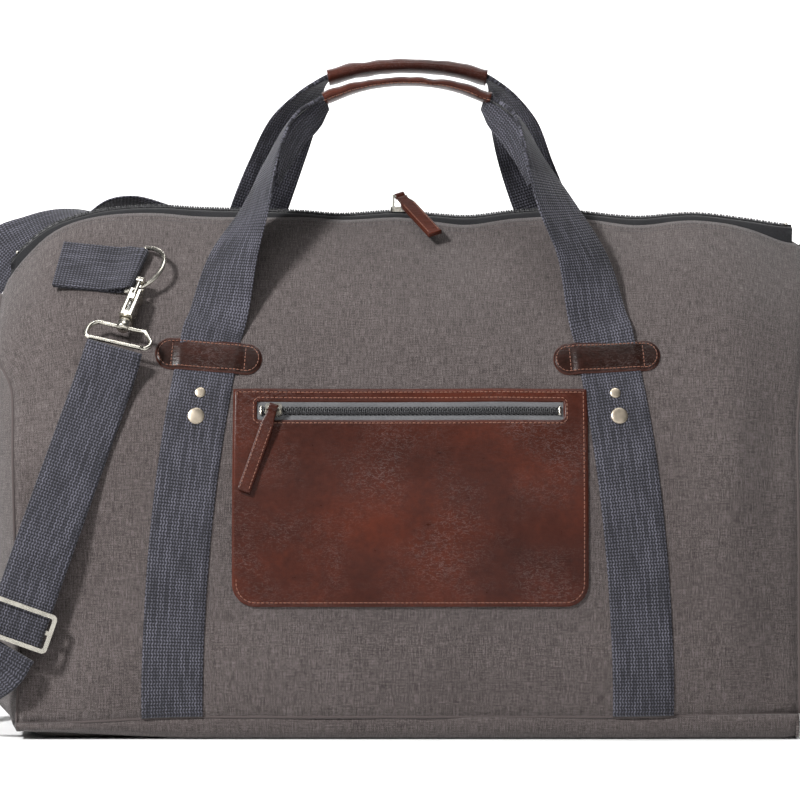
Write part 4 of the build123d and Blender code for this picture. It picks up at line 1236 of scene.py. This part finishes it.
# ---- ring tabs, shoulder strap and its doubled end ----
class Place:
    """A flat place on the plain face, as the hardware is set: origin and three directions."""

    def __init__(self, x, height, standoff, back, tilt=0.0):
        angle = asin(max(0.0, height - wall_top) / face_radius)
        depth = half_depth - face_radius * (1 - cos(angle))
        out = Vector((0, -cos(angle), sin(angle)))
        up = Vector((0, sin(angle), cos(angle)))
        right = Vector((1, 0, 0))
        turn = radians(tilt)
        self.origin = turned(Vector((x, -depth, height)) + out * standoff, back)
        self.x_dir = turned(right * cos(turn) + up * sin(turn), back)
        self.y_dir = turned(up * cos(turn) - right * sin(turn), back)
        self.z_dir = turned(out, back)

    def at(self, x, y, z):
        return self.origin + self.x_dir * x + self.y_dir * y + self.z_dir * z


def ring_place(back):
    """The middle of a D-ring's straight bar."""
    return Place(ring_x, ring_height, 4.0, back, 12.0 if back else -16.0)


def tab_rows(ring, turn, line, width, thickness):
    """Stations of one layer of a ring tab, through (reach, out, across) places."""
    right, up = cos(turn), sin(turn)
    rows = []
    for reach, out, across in line:
        rows.append((*ring.at(reach * right, reach * up, out), *across, width, thickness))
    return rows


for face_name, back, bend in (("front", False, 8.0), ("rear", True, 0.0)):
    ring = ring_place(back)
    turn = radians(bend)
    wrap = 2.55
    near = ring.y_dir
    far = near * cos(turn) - ring.x_dir * sin(turn)
    under = [(-52, -3.2, far), (-30, -3.2, far), (-12, -3.0, near)]
    over = [(-8, 0.9, near), (-16, -1.2, near), (-30, -1.5, far), (-52.6, -1.5, far)]
    stations = tab_rows(ring, turn, under, strap_width + 2, 1.6)
    for angle in steps(-pi / 2, pi / 2, pi / 6):
        stations.append((*ring.at(wrap * cos(angle), 0, wrap * sin(angle)), *near, strap_width - 1.6, 1.6))
    stations += tab_rows(ring, turn, over, strap_width + 2.6, 1.7)
    ribbon(
        f"{face_name}_ring_webbing", stations, webbing_material, pitch=1.4,
        stands_for=(f"{face_name}_ring_tab",), slot="webbing",
    )

# The doubled run hangs from the hook's loop, over the front left corner, to the adjuster.
run_line = [
    (-190.258, -107.528, 254.323), (-195.96, -109.49, 235.32), (-206.2, -118.45, 204.66),
    (-215.8, -125.2, 176.76), (-225.4, -130.49, 149.12), (-233.08, -133.92, 126.9), (-251, -134, 76),
    (-255.4, -134, 63.6),
]
run_across = (0.943, 0.0, -0.333)
loop_across = (0.9652, -0.1496, -0.2146)
run_acrosses = [loop_across] + [run_across] * (len(run_line) - 1)
run_stations = [(*point, *across, strap_width, 3.5) for point, across in zip(run_line, run_acrosses)]
ribbon(
    "strap_run_webbing", run_stations, webbing_material, pitch=2.5, stands_for=("strap_run",), slot="webbing",
)

# The long layer: from the adjuster down to the floor, up the left end and across the back to the rear hook.
strap_stations = [
    (-256.5, -134, 61, 0.943, 0, -0.333), (-264, -135, 49, 0.93, 0, -0.37),
    (-275, -131, 40, 0.8, 0.15, -0.58), (-290, -116, 27, 0.78, 0.3, -0.5), (-299, -97, 14, 0.9, 0.35, -0.2),
    (-305, -76, 4, 0.97, 0.25, 0),
    (-310, -48, 4, 0.97, 0.2, 0), (-314, -22, 18, 0.97, 0.2, 0), (-316, -6, 52, 0.95, 0.3, 0),
    (-316, 2, 110, 0.6, 0.8, 0), (-317, 8, 180, 0.35, 0.9, 0.1), (-312, 16, 245, 0.1, 0.85, 0.5),
    (-297, 25, 290, -0.25, 0.5, 0.82), (-278, 31, 320, -0.3, 0.35, 0.88), (-257, 33, 334, -0.2, 0.7, 0.68),
    (-238, 34, 342, -0.05, 0.85, 0.52), (-222, 35, 347, 0, 0.97, 0.2), (-205, 36, 350, 0, 0.95, -0.3),
    (-188, 37, 349, 0, 0.85, -0.52), (-172, 38, 344, 0, 0.8, -0.6), (-150, 42, 334, 0, 0.72, -0.68),
]
for x, height in ((120, 324), (60, 317), (0, 315), (-60, 317)):
    behind = Place(x, height, 5.5, True)
    strap_stations.append((*behind.origin, 0, 0.66, -0.75))


def jaw(back):
    """A hook's own directions: its seat on the ring, down the hook and across it."""
    ring = ring_place(back)
    lift = radians(22.0)
    bow_x = ring.x_dir * cos(lift) + ring.z_dir * sin(lift)
    turn = 0.0 if back else radians(-62.0)
    seat = ring.origin + bow_x * (bow_radius * cos(turn)) + ring.y_dir * (bow_radius * sin(turn))
    if back:
        end = Place(ring_x + bow_radius + 50.0, 318.0, 7.0, True).origin
        outward_dir = Place(ring_x, 318.0, 0, True).z_dir
    else:
        end = Place(ring_x - 7.0, 257.0, 13.0, False).origin
        outward_dir = Place(ring_x, 277.0, 0, False).z_dir
    down = (end - seat).normalized()
    return seat, down, down.cross(outward_dir).normalized()


def swivel_outline():
    """The bent wire of a swivel loop as (down, across) from the seat: a straight bar and a low crown."""
    half = 21.6
    bar = 50.0
    crown = 35.6
    tight = 3.0
    wide = 8.0

    def bend(x, radius, side, turns):
        return [(x + radius * cos(a), side * (half - radius + radius * sin(a))) for a in turns]

    outline = [(bar, share * half) for share in steps(-0.86, 0.86, 0.12)]
    outline += bend(bar - tight, tight, 1, steps(0.3, pi / 2, 0.3))
    outline += bend(crown + wide, wide, 1, steps(pi / 2, pi - 0.2, 0.2))
    outline += [(crown + 0.6 * (1 - bump(share, 0, 0.6)), share * half) for share in (0.55, -0.55)]
    outline += bend(crown + wide, wide, -1, (pi - 0.2, pi / 2))
    outline += bend(bar - tight, tight, -1, (pi / 2, 0.3))
    return outline


outline = swivel_outline()
# The boss that turns in the hook, as (radius, distance down from the seat).
boss = [(1.75, 24.0), (1.75, 30.3), (3.6, 30.4), (4.3, 31.0), (4.4, 33.0)]
boss += [(3.9, 34.0), (4.3, 35.2), (4.2, 37.2), (3.2, 38.3)]
for hook_name, back in (("front", False), ("rear", True)):
    seat, down, side_dir = jaw(back)
    wire = [seat + down * x + side_dir * w for x, w in outline + outline[:2]]
    normal = down.cross(side_dir)
    tubes(f"{hook_name}_swivel_wire", [wire], 1.45, nickel_material, sides=16, flat=normal,
          stands_for=(f"{hook_name}_swivel_loop",), slot="nickel")
    lathe(f"{hook_name}_swivel_boss", [(seat, side_dir, normal, down)], boss, nickel_material, slot="nickel")
    coil_out = side_dir.cross(down)
    axis_foot = seat + coil_out * 5.7
    coil_turns = 6 * 2 * pi
    coil = []
    for turn in steps(0, coil_turns, pi / 8):
        spoke = side_dir * cos(turn) + coil_out * sin(turn)
        coil.append(axis_foot + spoke * 1.05 + down * (18.5 + 8.0 * turn / coil_turns))
    spring = tubes(f"{hook_name}_gate_coil", [coil], 0.22, spring_material, sides=6, body=f"{hook_name}_hook",
                   stands_for=(f"{hook_name}_gate_spring",), slot="spring_steel")
    tuple(down)
    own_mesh(spring)


rear_seat, rear_down, rear_side = jaw(True)
for reach in (66.0, 53.2):
    strap_stations.append((*(rear_seat + rear_down * reach), *(rear_side * -1)))
ribbon(
    "shoulder_strap_webbing", [(*station, strap_width, 1.8) for station in strap_stations], webbing_material,
    pitch=3.0, stands_for=("shoulder_strap",), slot="webbing",
)

# ---- hardware keeps its CAD shape and takes a real finish ----
finishes = {"rivet_backs": rivet_material, "base_board": board_material, "strap_adjuster": nickel_material}
for node_name in ("main_zip_slider", "main_zip_bail", "pocket_zip_slider", "pocket_zip_bail"):
    finishes[node_name] = nickel_material
for face_name, _ in FACES:
    for node_name in ("d_ring", "hook_body", "hook_gate"):
        finishes[f"{face_name}_{node_name}"] = nickel_material
for node_name, material in finishes.items():
    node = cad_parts[node_name]
    node.data.materials.clear()
    node.data.materials.append(material)


# ---- floor, light and camera ----
def make_stage():
    """A pale floor that curves up into a wall, in metres."""
    flat_end = 2.2
    sweep = 1.6
    outline = [(-6.0, 0.0), (flat_end, 0.0)]
    outline += [(flat_end + sweep * sin(a), sweep - sweep * cos(a)) for a in steps(0.08, pi / 2, 0.08)]
    outline += [(flat_end + sweep, 6.0)]
    verts = [(x, y, z) for y, z in outline for x in (-8.0, 8.0)]
    faces = [(2 * k, 2 * k + 1, 2 * k + 3, 2 * k + 2) for k in range(len(outline) - 1)]
    mesh = bpy.data.meshes.new("floor")
    mesh.from_pydata(verts, [], faces)
    for polygon in mesh.polygons:
        polygon.use_smooth = True
    s = Surface("floor")
    paper = s.grain(s.place(), 40.0, 2.0)
    colour = s.ramp(paper, (0.3, (0.90, 0.90, 0.90)), (0.7, (0.93, 0.93, 0.93)))
    mesh.materials.append(s.finish(colour, 0.9))
    show("floor", mesh)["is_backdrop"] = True


def soft_light(name, place, aim, width, height, power):
    """A rectangular light of so many watts that faces its aim, in metres."""
    data = bpy.data.lights.new(name, "AREA")
    data.shape = "RECTANGLE"
    data.size = width
    data.size_y = height
    data.energy = power
    lamp = show(name, data)
    lamp.location = place
    lamp.rotation_euler = (Vector(aim) - Vector(place)).to_track_quat("-Z", "Y").to_euler()


make_stage()
soft_light("key", (-1.5, -1.7, 1.8), (0, 0, 0.2), 0.40, 0.40, 104)
soft_light("front_fill", (0.3, -3.4, 1.2), (0, 0, 0.15), 1.6, 1.0, 10)
soft_light("top", (0.1, -0.2, 2.2), (0, 0, 0.2), 1.0, 0.8, 17)
soft_light("wall_wash", (0, 1.6, 2.6), (0, 3.8, 0.7), 3.2, 0.8, 135)

world = bpy.data.worlds.new("studio")
world.use_nodes = True
background = world.node_tree.nodes["Background"]
background.inputs["Color"].default_value = (1, 1, 1, 1)
background.inputs["Strength"].default_value = 0.09
bpy.context.scene.world = world
bpy.context.scene.view_settings.view_transform = "Standard"

# The camera looks straight at the bag's front, a little under mid height.
camera_data = bpy.data.cameras.new("camera")
camera_data.sensor_width = 36.0
camera_data.lens = camera_data.sensor_width * camera_distance / seen_width
camera = show("camera", camera_data)
camera.location = (-0.005, -(half_depth + camera_distance) * MM, 0.2194)
camera.rotation_euler = (pi / 2, 0, 0)
bpy.context.scene.camera = camera

boxes = {"cad": cad_box, "visual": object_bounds()}
{key: [list(corner) for corner in box] for key, box in boxes.items()}
